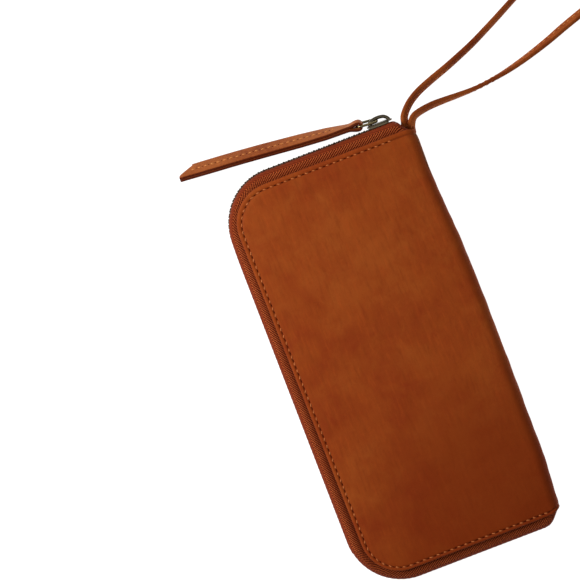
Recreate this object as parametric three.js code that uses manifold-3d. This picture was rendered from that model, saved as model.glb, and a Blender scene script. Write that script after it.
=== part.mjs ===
// Long zip-around wallet with a folded leather zip pull and a leather wrist strap.
// Millimetres. Origin: centre of the back cover's flat outer face. +X towards the spine,
// +Y towards the short side that carries the closed slider, +Z from back cover to front cover.
import * as THREE from 'three';
import { mergeVertices } from 'three/addons/utils/BufferGeometryUtils.js';
import Module from 'manifold-3d';

const wasm = await Module();
wasm.setup();

// ---------------------------------------------------------------- driving dimensions
const T = 24.0;                 // overall thickness, closed and empty
const MID = T / 2;              // height of the zip chain's middle
const LEATHER = 1.4;            // turned-edge cover leather
const COVER_LEFT = -43.5;       // cover leather, edge away from the spine
const COVER_HALF_Y = 92.0;      // cover leather, half length
const COVER_R = 18.0;           // cover corner radius
const SPINE_X = 48.0;           // outermost face of the spine
const SPINE_R = 4.5;            // fold radius where cover turns into spine
const SPINE_CORNER_R = 4.0;     // corner radius of the cover at the spine
const CHAIN_X = -47.1;          // middle of the zip chain on the long side
const CHAIN_Y = 96.3;           // middle of the zip chain on the short sides
const CHAIN_R = 24.3;           // chain corner radius
const CHAIN_T = 2.4;            // tooth thickness, outwards
const PITCH = 2.4;              // pitch of the teeth on one tape
const TOOTH_W = 0.9;            // tooth width along the chain
const TAPE_T = 0.5;             // zip tape thickness
const FLANGE = 3.8;             // width of tape sewn under the leather
const GAP = 0.3;                // working gap between neighbouring pieces
const SLIDER_X = 32.1;          // middle of the main slider when closed
const CC_X = -22.8, CC_Y = 72.0; // chain corner centre

// ---------------------------------------------------------------- helpers
function geo(positions, indices) {
  const g = new THREE.BufferGeometry();
  g.setAttribute('position', new THREE.Float32BufferAttribute(positions, 3));
  g.setIndex(indices);
  return g;
}
function toManifold(g0) {
  let g = g0.clone();
  g.deleteAttribute('normal'); g.deleteAttribute('uv');
  g = mergeVertices(g, 1e-4);
  return new wasm.Manifold(new wasm.Mesh({
    numProp: 3,
    vertProperties: new Float32Array(g.attributes.position.array),
    triVerts: new Uint32Array(g.index.array),
  }));
}
function fromManifold(m) {
  const k = m.getMesh();
  return geo(Array.from(k.vertProperties), Array.from(k.triVerts));
}
const join = (...gs) => fromManifold(gs.map(toManifold).reduce((a, b) => a.add(b)));
const cut = (a, ...bs) => fromManifold(bs.map(toManifold).reduce((m, b) => m.subtract(b), toManifold(a)));
const common = (a, b) => fromManifold(toManifold(a).intersect(toManifold(b)));
function box(x0, x1, y0, y1, z0, z1) {
  const g = new THREE.BoxGeometry(x1 - x0, y1 - y0, z1 - z0);
  g.translate((x0 + x1) / 2, (y0 + y1) / 2, (z0 + z1) / 2);
  return g;
}
function prism(pts, z0, z1) {              // polygon in XY, extruded along Z
  const g = new THREE.ExtrudeGeometry(new THREE.Shape(pts.map(p => new THREE.Vector2(p[0], p[1]))),
    { depth: z1 - z0, bevelEnabled: false, curveSegments: 1 });
  g.translate(0, 0, z0);
  return g;
}
function prismY(pts, y0, y1) {             // polygon in XZ, extruded along Y
  const g = prism(pts.map(p => [p[0], -p[1]]), 0, y1 - y0);
  g.rotateX(-Math.PI / 2);                 // (x, -z, h) -> (x, h, z)
  g.translate(0, y0, 0);
  return g;
}
function prismX(pts, x0, x1) {             // polygon in YZ, extruded along X
  const g = prism(pts, x0, x1);            // (y, z, x)
  g.applyMatrix4(new THREE.Matrix4().set(0, 0, 1, 0, 1, 0, 0, 0, 0, 1, 0, 0, 0, 0, 0, 1));
  return g;
}
function arc(cx, cy, r, a0, a1, n) {
  const out = [];
  for (let i = 0; i <= n; i++) {
    const a = (a0 + (a1 - a0) * i / n) * Math.PI / 180;
    out.push([cx + r * Math.cos(a), cy + r * Math.sin(a)]);
  }
  return out;
}
function roundedOutline(x0, x1, hy, rl, rr, n = 6) {   // left corners rl, right corners rr
  return [
    ...arc(x0 + rl, -hy + rl, rl, 180, 270, n), ...arc(x1 - rr, -hy + rr, rr, 270, 360, Math.max(3, n - 2)),
    ...arc(x1 - rr, hy - rr, rr, 0, 90, Math.max(3, n - 2)), ...arc(x0 + rl, hy - rl, rl, 90, 180, n),
  ];
}
const plate = (x0, x1, hy, rl, rr, z0, z1, n = 4) => prism(roundedOutline(x0, x1, hy, rl, rr, n), z0, z1);
function mirrorZ(g0) {                     // mirror a back piece into its front twin
  const g = g0.index ? g0.toNonIndexed() : g0.clone();
  g.deleteAttribute('normal'); if (g.attributes.uv) g.deleteAttribute('uv');
  const p = g.attributes.position.array;
  for (let i = 0; i < p.length; i += 9) {
    for (let k = 0; k < 3; k++) p[i + 3 * k + 2] = T - p[i + 3 * k + 2];
    for (let k = 0; k < 3; k++) { const t = p[i + 3 + k]; p[i + 3 + k] = p[i + 6 + k]; p[i + 6 + k] = t; }
  }
  return g;
}
function loft(rings, closed = false) {     // rings of equal point count, capped unless closed
  const n = rings[0].length, pos = rings.flat(2), idx = [];
  const m = rings.length, segs = closed ? m : m - 1;
  for (let i = 0; i < segs; i++) for (let j = 0; j < n; j++) {
    const a = i * n + j, b = i * n + (j + 1) % n, c = ((i + 1) % m) * n + j, d = ((i + 1) % m) * n + (j + 1) % n;
    idx.push(a, b, d, a, d, c);
  }
  if (!closed) {
    const tri = r => {                      // triangulate a cap in its own plane
      const P = r.map(p => new THREE.Vector3(...p));
      const nrm = new THREE.Vector3();
      for (let i = 0; i < P.length; i++) nrm.add(new THREE.Vector3().crossVectors(P[i].clone().sub(P[0]), P[(i + 1) % P.length].clone().sub(P[0])));
      nrm.normalize();
      const u = P[1].clone().sub(P[0]).normalize(), v = new THREE.Vector3().crossVectors(nrm, u);
      return THREE.ShapeUtils.triangulateShape(P.map(p => new THREE.Vector2(p.dot(u), p.dot(v))), []);
    };
    for (const t of tri(rings[0])) idx.push(t[0], t[2], t[1]);
    const o = (m - 1) * n;
    for (const t of tri(rings[m - 1])) idx.push(o + t[0], o + t[1], o + t[2]);
  }
  const g = geo(pos, idx);
  let vol = 0;                              // turn it right side out if needed
  const P = g.attributes.position.array;
  for (let i = 0; i < idx.length; i += 3) {
    const [a, b, c] = [idx[i] * 3, idx[i + 1] * 3, idx[i + 2] * 3];
    vol += P[a] * (P[b + 1] * P[c + 2] - P[b + 2] * P[c + 1]) - P[a + 1] * (P[b] * P[c + 2] - P[b + 2] * P[c]) + P[a + 2] * (P[b] * P[c + 1] - P[b + 1] * P[c]);
  }
  if (vol < 0) { for (let i = 0; i < idx.length; i += 3) [idx[i + 1], idx[i + 2]] = [idx[i + 2], idx[i + 1]]; g.setIndex(idx); }
  return g;
}

// ---------------------------------------------------------------- the zip path
// chain centre line on the slider side: straight, corner, long side, corner, straight
const RUN_END = 40.6;
const seg = [];
seg.push({ len: 33.4 - CC_X, at: s => [33.4 - s, CHAIN_Y], n: () => [0, 1] });
seg.push({ len: CHAIN_R * Math.PI / 2, at: s => { const a = Math.PI / 2 + s / CHAIN_R; return [CC_X + CHAIN_R * Math.cos(a), CC_Y + CHAIN_R * Math.sin(a)]; }, n: s => { const a = Math.PI / 2 + s / CHAIN_R; return [Math.cos(a), Math.sin(a)]; } });
seg.push({ len: 2 * CC_Y, at: s => [CHAIN_X, CC_Y - s], n: () => [-1, 0] });
seg.push({ len: CHAIN_R * Math.PI / 2, at: s => { const a = Math.PI + s / CHAIN_R; return [CC_X + CHAIN_R * Math.cos(a), -CC_Y + CHAIN_R * Math.sin(a)]; }, n: s => { const a = Math.PI + s / CHAIN_R; return [Math.cos(a), Math.sin(a)]; } });
seg.push({ len: 36.0 - CC_X, at: s => [CC_X + s, -CHAIN_Y], n: () => [0, -1] });
const TOTAL = seg.reduce((a, s) => a + s.len, 0);
function onChain(s) {
  for (const g of seg) { if (s <= g.len + 1e-9) return { p: g.at(s), n: g.n(s) }; s -= g.len; }
  const g = seg[seg.length - 1]; return { p: g.at(g.len + s), n: g.n(0) };
}
// one row of teeth: a bead along the tape's edge with a tooth at each pitch
function teethRow(first, zBeadFar, zBead, zTip) {
  const st = [];                             // stations: [s, startsTooth]
  for (let s = first; s + TOOTH_W < TOTAL; s += PITCH) st.push([s, true], [s + TOOTH_W, false]);
  const pos = [], idx = [], h = CHAIN_T / 2;
  st.forEach(([s]) => {
    const { p, n } = onChain(s);
    for (const z of [zBeadFar, zBead, zTip]) for (const k of [h, -h]) pos.push(p[0] + n[0] * k, p[1] + n[1] * k, z);
  });                                        // per station: far+,far-,bead+,bead-,tip+,tip-
  const q = (a, b, c, d) => idx.push(a, b, c, a, c, d);
  const N = st.length;
  for (let i = 0; i < N - 1; i++) {
    const a = i * 6, b = (i + 1) * 6, tooth = st[i][1];
    q(a, b, b + 2, a + 2);                   // outer face of bead
    q(a + 1, a + 3, b + 3, b + 1);           // inner face of bead
    q(a, a + 1, b + 1, b);                   // far face
    if (tooth) { q(a + 2, b + 2, b + 4, a + 4); q(a + 3, a + 5, b + 5, b + 3); q(a + 4, b + 4, b + 5, a + 5); q(a + 2, a + 4, a + 5, a + 3); q(b + 2, b + 3, b + 5, b + 4); }
    else q(a + 2, b + 2, b + 3, a + 3);
  }
  q(0, 2, 3, 1);
  const e = (N - 1) * 6; q(e, e + 1, e + 3, e + 2);
  // drop unused tip corners by re-indexing
  const used = new Map(), P = [], I = [];
  for (const k of idx) { if (!used.has(k)) { used.set(k, P.length / 3); P.push(pos[3 * k], pos[3 * k + 1], pos[3 * k + 2]); } I.push(used.get(k)); }
  const g = geo(P, I);
  return g;
}
function flip(g) { const i = Array.from(g.index.array); for (let k = 0; k < i.length; k += 3) [i[k + 1], i[k + 2]] = [i[k + 2], i[k + 1]]; g.setIndex(i); return g; }
function signedVolume(g) {
  const P = g.attributes.position.array, I = g.index.array; let v = 0;
  for (let i = 0; i < I.length; i += 3) { const [a, b, c] = [I[i] * 3, I[i + 1] * 3, I[i + 2] * 3]; v += P[a] * (P[b + 1] * P[c + 2] - P[b + 2] * P[c + 1]) - P[a + 1] * (P[b] * P[c + 2] - P[b + 2] * P[c]) + P[a + 2] * (P[b] * P[c + 1] - P[b + 1] * P[c]); }
  return v;
}
function outward(g) { return signedVolume(g) < 0 ? flip(g) : g; }

// the tape: flange under the leather, domed wall, flat band at the chain
function tapeBack() {
  const stations = [];                       // {i:[x,y] leather edge, ni, o:[x,y] chain line, no}
  const inR = COVER_R, ccx = COVER_LEFT + COVER_R, ccy = COVER_HALF_Y - COVER_R;
  const l1 = ccx < CC_X ? CC_X - ccx : 0, la = inR * Math.PI / 2, l2 = ccy - CC_Y, tot = l1 + la + l2;
  const inner = t => {                       // along the leather edge round a corner
    let s = t * tot;
    if (s < l1) return { i: [CC_X - s, COVER_HALF_Y], ni: [0, 1] };
    s -= l1;
    if (s < la) { const a = Math.PI / 2 + s / inR; return { i: [ccx + inR * Math.cos(a), ccy + inR * Math.sin(a)], ni: [Math.cos(a), Math.sin(a)] }; }
    s -= la; return { i: [COVER_LEFT, ccy - s], ni: [-1, 0] };
  };
  stations.push({ i: [RUN_END + 0.9, COVER_HALF_Y - 0.2], ni: [0, 1], o: [RUN_END + 0.9, 94.6], no: [0.35, 0.94] });
  stations.push({ i: [RUN_END - 1.2, COVER_HALF_Y], ni: [0, 1], o: [RUN_END - 1.2, CHAIN_Y], no: [0, 1] });
  stations.push({ i: [CC_X, COVER_HALF_Y], ni: [0, 1], o: [CC_X, CHAIN_Y], no: [0, 1] });
  const NC = 8;
  for (let k = 1; k < NC; k++) {
    const t = k / NC, a = Math.PI / 2 + t * Math.PI / 2;
    stations.push({ ...inner(t), o: [CC_X + CHAIN_R * Math.cos(a), CC_Y + CHAIN_R * Math.sin(a)], no: [Math.cos(a), Math.sin(a)] });
  }
  stations.push({ i: [COVER_LEFT, CC_Y], ni: [-1, 0], o: [CHAIN_X, CC_Y], no: [-1, 0] });
  const all = [...stations, ...stations.slice().reverse().map(s => ({ i: [s.i[0], -s.i[1]], ni: [s.ni[0], -s.ni[1]], o: [s.o[0], -s.o[1]], no: [s.no[0], -s.no[1]] }))];
  const zf = 1.9, z1 = 7.2, z2 = MID - 2.2, K = 4, h = TAPE_T / 2;
  return outward(loft(all.map(({ i, ni, o, no }) => {
    const c = [];                            // centre line: [x, y, z]
    c.push([i[0] - ni[0] * FLANGE, i[1] - ni[1] * FLANGE, zf]);
    c.push([i[0] - ni[0] * 0.4, i[1] - ni[1] * 0.4, zf]);
    for (let k = 1; k <= K; k++) { const a = k / K * Math.PI / 2, f = Math.sin(a); c.push([i[0] + (o[0] - i[0]) * f, i[1] + (o[1] - i[1]) * f, zf + (z1 - zf) * (1 - Math.cos(a))]); }
    c.push([o[0], o[1], z2]);
    // offset in the vertical plane of the outward normal
    const along = c.map(p => p[0] * no[0] + p[1] * no[1]);
    const up = [], dn = [];
    c.forEach((p, k) => {
      const a = Math.max(0, k - 1), b = Math.min(c.length - 1, k + 1);
      let dx = along[b] - along[a], dz = c[b][2] - c[a][2];
      const l = Math.hypot(dx, dz) || 1; dx /= l; dz /= l;
      let nx = dz, nz = -dx;                 // outward / downward side
      if (k <= 1) { nx = 0; nz = -1; }
      if (k >= c.length - 2) { nx = 1; nz = 0; }
      up.push([p[0] + no[0] * nx * h, p[1] + no[1] * nx * h, p[2] + nz * h]);
      dn.push([p[0] - no[0] * nx * h, p[1] - no[1] * nx * h, p[2] - nz * h]);
    });
    return [...up, ...dn.reverse()];
  })));
}

// ---------------------------------------------------------------- covers
const spineIn = SPINE_X - LEATHER;
function coverBack() {
  const cx = SPINE_X - SPINE_R, r2 = SPINE_R - LEATHER;
  const profile = [
    [COVER_LEFT - 1, 0], ...arc(cx, SPINE_R, SPINE_R, 270, 360, 6), [SPINE_X, MID - GAP], [spineIn, MID - GAP],
    ...arc(cx, SPINE_R, r2, 360, 270, 5), [COVER_LEFT - 1, LEATHER],
  ];
  return common(prismY(profile, -COVER_HALF_Y - 1, COVER_HALF_Y + 1),
    prism(roundedOutline(COVER_LEFT, SPINE_X + 0.001, COVER_HALF_Y, COVER_R, SPINE_CORNER_R, 8), -1, MID));
}

// ---------------------------------------------------------------- sliders
// local frame: s along the chain (nose at +s), n outwards from the chain, b along the chain's width
function sliderBody({ len, wid, cavB, cavN, slotN, t, neckB, neckS, at, map, noseTaper }) {
  const half = len / 2;
  const out = pts => prism(pts, 0, t);
  const w2 = wid / 2, k = noseTaper;
  const outline = [[-half, -w2 + k], [-half + k, -w2], [half - 2.2 * k, -w2], [half, -w2 + 1.6 * k], [half, w2 - 1.6 * k], [half - 2.2 * k, w2], [-half + k, w2], [-half, w2 - k]];
  const outer = out(outline); outer.translate(0, 0, cavN / 2);
  const inner = out(outline); inner.translate(0, 0, -cavN / 2 - t);
  const parts = [outer, inner, box(neckS[0], neckS[1], -neckB / 2, neckB / 2, -cavN / 2 - 0.01, cavN / 2 + 0.01)];
  const fl = [-half + k, half - 2.2 * k];
  for (const sgn of [1, -1]) {
    const b0 = Math.min(sgn * cavB / 2, sgn * w2), b1 = Math.max(sgn * cavB / 2, sgn * w2);
    parts.push(box(fl[0], fl[1], b0, b1, slotN / 2, cavN / 2 + 0.01), box(fl[0], fl[1], b0, b1, -cavN / 2 - 0.01, -slotN / 2));
  }
  let m = parts.map(toManifold).reduce((a, b) => a.add(b));
  const g = fromManifold(m);
  const p = g.attributes.position.array;
  for (let i = 0; i < p.length; i += 3) { const v = map(p[i], p[i + 1], p[i + 2]); p[i] = v[0] + at[0]; p[i + 1] = v[1] + at[1]; p[i + 2] = v[2] + at[2]; }
  return outward(g);
}

// ---------------------------------------------------------------- parts list
const wallet = new THREE.Group();
function add(name, g, color, roughness = 0.6, metalness = 0) {
  if (g.attributes.normal) g.deleteAttribute('normal');
  if (g.attributes.uv) g.deleteAttribute('uv');
  g = mergeVertices(g, 1e-4);
  g.computeVertexNormals();
  const m = new THREE.Mesh(g, new THREE.MeshStandardMaterial({ color, roughness, metalness }));
  m.name = name; wallet.add(m); return m;
}
const TAN = 0x82391b, LIGHT_TAN = 0xa8623a, TAPE = 0x7d3216, METAL = 0x4a4438, LINING = 0x6b4a32, BOARD = 0xb79b78;

// outer covers, folded round the spine and meeting on the hinge line
const cb = coverBack();
add('cover_back', cb, TAN);
add('cover_front', mirrorZ(cb), TAN);
// stiffening boards between leather and lining
const sb = plate(-38.2, 42.6, 87.2, 11, 3, 1.7, 2.1);
add('stiffener_back', sb, BOARD, 0.9); add('stiffener_front', mirrorZ(sb), BOARD, 0.9);
// linings
const lb = plate(-42.8, 45.6, 91.8, 16, 4, 2.45, 2.75);
add('lining_back', lb, LINING, 0.9); add('lining_front', mirrorZ(lb), LINING, 0.9);
// card panels and three stepped rows of card slots on each side
const pb = plate(-37.5, 42.0, 85.0, 7, 2, 3.05, 3.4);
add('card_panel_back', pb, TAN); add('card_panel_front', mirrorZ(pb), TAN);
[[-24, 3.7], [-12, 4.3], [0, 4.9]].forEach(([x, z], i) => {
  const s = plate(x, 41.5, 84.0, 1.2, 2, z, z + 0.3, 3);
  add(`card_slot_back_${i + 1}`, s, TAN); add(`card_slot_front_${i + 1}`, mirrorZ(s), TAN);
});
// zip tapes and rows of teeth
const tb = tapeBack();
add('zip_tape_back', tb, TAPE, 0.9); add('zip_tape_front', mirrorZ(tb), TAPE, 0.9);
add('zip_teeth_back', outward(teethRow(1.2, MID - 1.9, MID - 1.0, MID + 0.7)), METAL, 0.4, 0.9);
add('zip_teeth_front', outward(teethRow(0, MID + 1.9, MID + 1.0, MID - 0.7)), METAL, 0.4, 0.9);
// top stops at the closed end, bottom stop block at the other end
add('zip_top_stop_back', box(38.5, 39.6, CHAIN_Y + 0.55, CHAIN_Y + 1.35, MID - 4.2, MID - 1.2), METAL, 0.4, 0.9);
add('zip_top_stop_front', box(38.5, 39.6, CHAIN_Y + 0.55, CHAIN_Y + 1.35, MID + 1.2, MID + 4.2), METAL, 0.4, 0.9);
add('zip_bottom_stop', box(36.6, 39.2, -CHAIN_Y - 1.2, -CHAIN_Y + 1.2, MID - 1.9, MID + 1.9), METAL, 0.4, 0.9);

// main slider: two plates, neck at the nose, side flanges with a slot for each tape
const CAV = 3.0, PL = 0.6;
add('zip_slider', sliderBody({
  len: 12, wid: 9.0, cavB: 4.6, cavN: CAV, slotN: 1.1, t: PL, neckB: 1.8, neckS: [2.4, 5.4], noseTaper: 1.0,
  at: [SLIDER_X, CHAIN_Y, MID], map: (s, b, n) => [s, n, b],
}), METAL, 0.4, 0.9);
const PLATE_OUT = CHAIN_Y + CAV / 2 + PL;       // outer face of the outer plate
// bail: an arch over the outer plate, its opening runs along Z
{
  const y0 = PLATE_OUT, xa = 27.3, xb = 37.2;
  const outline = [[xa, y0 + 0.3], [xb, y0 + 0.3], ...arc(xb - 2.3, y0 + 0.5, 2.3, 0, 90, 5), ...arc(xa + 2.3, y0 + 0.5, 2.3, 90, 180, 5)];
  const base = box(xa, xb, y0 + 0.3, y0 + 0.6, MID - 1.4, MID + 1.4);
  const arch = prism(outline.map(([x, y]) => [x, y]), MID - 1.0, MID + 1.0);
  const hole = prism([...arc(xb - 2.3, y0 + 1.4, 0.8, 270, 450, 5), ...arc(xa + 2.2, y0 + 1.4, 0.8, 90, 270, 5)], MID - 3, MID + 3);
  add('zip_slider_bail', cut(join(base, arch), hole), METAL, 0.4, 0.9);
}
// oval wire link through the bail
const S = new THREE.Vector3(0, -0.22, 0.9755).normalize();         // link's short axis
const L = new THREE.Vector3(-0.985, 0.085, 0.05); L.addScaledVector(S, -L.dot(S)).normalize();
const P0 = new THREE.Vector3(31.4, PLATE_OUT + 1.4, MID);        // near wire, inside the bail
const LINK_LEN = 9.3, LINK_R = 2.7, LINK_C = 1.8, WIRE = 0.5;
{
    const at = (l, s) => P0.clone().addScaledVector(L, l).addScaledVector(S, s);
  const N = new THREE.Vector3().crossVectors(L, S).normalize();
  const path = [];
  const corner = (lc, sc, a0) => { for (let i = 0; i <= 4; i++) { const a = a0 + Math.PI / 2 * i / 4; path.push([lc + LINK_C * Math.cos(a), sc + LINK_C * Math.sin(a), Math.cos(a), Math.sin(a)]); } };
  corner(LINK_C, LINK_R - LINK_C, Math.PI / 2); corner(LINK_C, -LINK_R + LINK_C, Math.PI);
  corner(LINK_LEN - LINK_C, -LINK_R + LINK_C, -Math.PI / 2); corner(LINK_LEN - LINK_C, LINK_R - LINK_C, 0);
  const rings = path.map(([l, s, cl, cs]) => {
    const c = at(l, s), e = new THREE.Vector3().addScaledVector(L, cl).addScaledVector(S, cs);
    const r = [];
    for (let k = 0; k < 8; k++) { const a = k / 8 * 2 * Math.PI; const v = c.clone().addScaledVector(e, WIRE * Math.cos(a)).addScaledVector(N, WIRE * Math.sin(a)); r.push([v.x, v.y, v.z]); }
    return r;
  });
  add('pull_link', outward(loft(rings, true)), METAL, 0.4, 0.9);
}
// folded leather pull: loop round the link's far wire, narrow neck, long strap with a slanted end
{
  const H = P0.clone().addScaledVector(L, LINK_LEN);
  const D = new THREE.Vector3(-81.7, 8.25, -6.9).normalize();
  const frame = w => {                        // local x along the pull, y its face normal, z its width
    const W = w.clone().addScaledVector(D, -w.dot(D)).normalize();
    return new THREE.Matrix4().makeBasis(D, new THREE.Vector3().crossVectors(W, D), W).setPosition(H);
  };
  const swap = g0 => {                        // (length, width, thickness) -> (length, thickness, width), mirrored back outward
    const g = g0.clone(), p = g.attributes.position.array;
    for (let i = 0; i < p.length; i += 3) { const t = p[i + 1]; p[i + 1] = -p[i + 2]; p[i + 2] = t; }
    return g;
  };
  const eye = prism(arc(-0.8, 0, 2.3, 0, 348.75, 31).filter((_, i) => i % 2 === 0), -1.45, 1.45).applyMatrix4(frame(S));
  const rolled = frame(new THREE.Vector3(0, -0.53, 0.848));
  const neck = prism([[0.4, -1.4], [6.4, -1.4], [6.4, 1.4], [0.4, 1.4]], -1.45, 1.45).applyMatrix4(rolled);
  const side = 75.6;                          // long edges end 6.5 mm apart, a slanted cut
  const strap = swap(prism([[5.0, -1.45], [7.5, -4], [side, -4], [side + 6.5, 4], [7.5, 4], [5.0, 1.45]], -1.35, 1.35)).applyMatrix4(rolled);
  const hole = prism(arc(0, 0, 1.05, 0, 337.5, 15), -6, 6).applyMatrix4(frame(S));
  add('pull_strap', outward(cut(join(eye, neck, strap), hole)), LIGHT_TAN);
}

// coin pocket: open box with its mouth away from the spine, closed by a small coil zip
const CP = { x0: -30, x1: 40, hy: 78, z0: 9.55, z1: T - 9.55, t: 0.4 };
add('coin_pocket', cut(plate(CP.x0, CP.x1, CP.hy, 1, 2, CP.z0, CP.z1, 3),
  box(CP.x0 - 1, CP.x1 - CP.t, -CP.hy + CP.t, CP.hy - CP.t, CP.z0 + CP.t, CP.z1 - CP.t)), TAN);
const CZ = CP.x0 - 0.7;                           // plane of the coin zip
add('coin_zip_tape_back', box(CZ - 0.2, CZ + 0.2, -76, 76, CP.z0 + 0.05, MID - 0.9), TAPE, 0.9);
add('coin_zip_tape_front', box(CZ - 0.2, CZ + 0.2, -76, 76, MID + 0.9, CP.z1 - 0.05), TAPE, 0.9);
add('coin_zip_coil', box(CZ - 0.5, CZ + 0.5, -73, 69.2, MID - 0.6, MID + 0.6), METAL, 0.5, 0.3);
add('coin_zip_stop', box(CZ - 0.6, CZ + 0.6, -75.2, -73.4, MID - 0.6, MID + 0.6), METAL, 0.4, 0.9);
add('coin_zip_slider', sliderBody({
  len: 7.0, wid: 3.5, cavB: 1.9, cavN: 1.7, slotN: 1.0, t: 0.5, neckB: 0.9, neckS: [1.6, 3.0], noseTaper: 0.5,
  at: [CZ, 68, MID], map: (s, b, n) => [-n, s, b],
}), METAL, 0.4, 0.9);
{
  // pull tab lying along the zip, its eye over a post on the slider
  const px = CZ - 0.85 - 0.5 - 0.3, py = 66.5;
  const tab = box(px - 1.0, px - 0.0, py - 11.0, py + 0.55, MID - 2, MID + 2);
  add('coin_zip_pull', cut(tab, box(px - 2, px + 1, py - 9.6, py - 7.6, MID - 0.8, MID + 0.8)), METAL, 0.4, 0.9);
}

// folded end gussets between each card panel and the coin pocket
function gusset(sign, xEnd) {
  const z0 = 5.55, z1 = 9.25, zm = (z0 + z1) / 2, y0 = 62, y1 = 83, t = 0.3;
  const pts = [[y1, z0], [y1, z0 + t], [y0 + 1.2, zm], [y1, z1 - t], [y1, z1], [y0, zm + 0.15], [y0, zm - 0.15]].map(p => [sign * p[0], p[1]]);
  return outward(mergeVertices(stripped(prismX(sign > 0 ? pts : pts.slice().reverse(), -34, 41)), 1e-4));
}
function stripped(g) { g.deleteAttribute('normal'); g.deleteAttribute('uv'); return g; }
for (const [nm, sg] of [['slider_end', 1], ['far_end', -1]]) {
  const g = gusset(sg);
  add(`gusset_back_${nm}`, g, TAN); add(`gusset_front_${nm}`, mirrorZ(g), TAN);
}

// wrist strap: one stitched leather strip, both ends sewn in at the spine corner
add('strap_anchor', box(41.2, 45.8, 85.0, 92.9, MID - 1.6, MID + 1.6), TAN);
const STRAP = [
  [42.7, 94.2, 12], [43.6, 97, 11.3], [47.5, 101.2, 8.9], [53, 104.5, 6], [60.3, 107.3, 3.8],
  [68.3, 110, 2.75], [76, 112.9, 2.6], [83.6, 116, 2.6], [91.2, 119.6, 2.6], [98.1, 123, 2.6],
  [106.3, 127.2, 2.6], [116.5, 132.3, 2.6], [128.4, 137.9, 2.6], [141.3, 143.7, 2.6], [155.3, 148.6, 2.6],
  [167.2, 151.3, 2.6], [177.2, 150.6, 2.6], [184.1, 145.6, 2.6], [185.7, 138.2, 2.6], [181.2, 130.8, 2.6],
  [171.7, 124.4, 2.6], [159.3, 119.4, 2.6], [146.3, 115.2, 2.6], [133.1, 111.1, 2.6], [123.8, 108, 2.6],
  [116.1, 105.2, 2.6], [107.9, 102.6, 2.6], [100, 100.4, 2.6], [91.9, 98.6, 2.6], [83.8, 97.4, 2.75],
  [76.6, 96.8, 3.1], [69.6, 96.8, 3.9], [62.7, 97, 5.3], [56.2, 97, 7.4], [50.8, 96.2, 9.7],
  [47.3, 95.6, 11.5], [45.9, 94.6, 12],
];
{
  const curve = new THREE.CatmullRomCurve3(STRAP.map(p => new THREE.Vector3(...p)), false, 'centripetal');
  const n = 62, rings = [];
  for (let i = 0; i <= n; i++) {
    const c = curve.getPointAt(i / n), t = curve.getTangentAt(i / n);
    const side = new THREE.Vector3(-t.y, t.x, 0).normalize(), up = new THREE.Vector3().crossVectors(t, side).normalize();
    if (up.z < 0) up.negate();
    const r = [];
    for (const [a, b] of [[1.2, -1.7], [1.2, 1.7], [0.7, 2.5], [-0.7, 2.5], [-1.2, 1.7], [-1.2, -1.7], [-0.7, -2.5], [0.7, -2.5]]) {
      const v = c.clone().addScaledVector(side, a).addScaledVector(up, b); r.push([v.x, v.y, v.z]);
    }
    rings.push(r);
  }
  add('wrist_strap', outward(loft(rings)), LIGHT_TAN);
}

export default wallet;
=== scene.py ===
import math
import bpy, bmesh
import numpy as np
from mathutils import Vector, Matrix


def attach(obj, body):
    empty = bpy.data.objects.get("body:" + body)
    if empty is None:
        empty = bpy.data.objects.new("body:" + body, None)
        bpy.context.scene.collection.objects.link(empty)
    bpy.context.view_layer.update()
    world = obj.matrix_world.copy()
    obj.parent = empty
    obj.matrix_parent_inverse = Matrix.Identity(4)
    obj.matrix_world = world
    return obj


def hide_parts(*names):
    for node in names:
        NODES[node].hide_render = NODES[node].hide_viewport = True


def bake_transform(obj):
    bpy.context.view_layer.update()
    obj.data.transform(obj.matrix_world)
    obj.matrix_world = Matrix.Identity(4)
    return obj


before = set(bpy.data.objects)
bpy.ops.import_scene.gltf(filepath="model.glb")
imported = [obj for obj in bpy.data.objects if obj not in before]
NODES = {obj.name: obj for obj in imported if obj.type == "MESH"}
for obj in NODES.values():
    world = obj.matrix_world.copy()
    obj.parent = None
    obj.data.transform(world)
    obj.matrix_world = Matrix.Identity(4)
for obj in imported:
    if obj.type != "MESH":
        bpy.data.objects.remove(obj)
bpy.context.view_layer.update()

MM = 0.001
T, MID = 24.0, 12.0
rng = np.random.default_rng(7)

# ------------------------------------------------------------------ camera, as the photograph sees the wallet
target = Vector((-31.6, 42.97, 12.0)) * MM
cam_dir = Vector((0.015, 0.085, 1.0)).normalized()
DIST = 1.9
cam_data = bpy.data.cameras.new("camera")
cam_data.sensor_width = 36.0
FRAME_MM = 580 * 0.4458
cam_data.lens = 36.0 * DIST / (FRAME_MM * MM)
cam_data.clip_start, cam_data.clip_end = 0.05, 20
cam = bpy.data.objects.new("camera", cam_data)
bpy.context.scene.collection.objects.link(cam)
up = Vector((math.sin(math.radians(21)), math.cos(math.radians(21)), 0))
z = cam_dir
x = up.cross(z).normalized()
y = z.cross(x)
cam.matrix_world = Matrix(((x.x, y.x, z.x, 0), (x.y, y.y, z.y, 0), (x.z, y.z, z.z, 0), (0, 0, 0, 1)))
cam.location = target + cam_dir * DIST
bpy.context.scene.camera = cam


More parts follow.
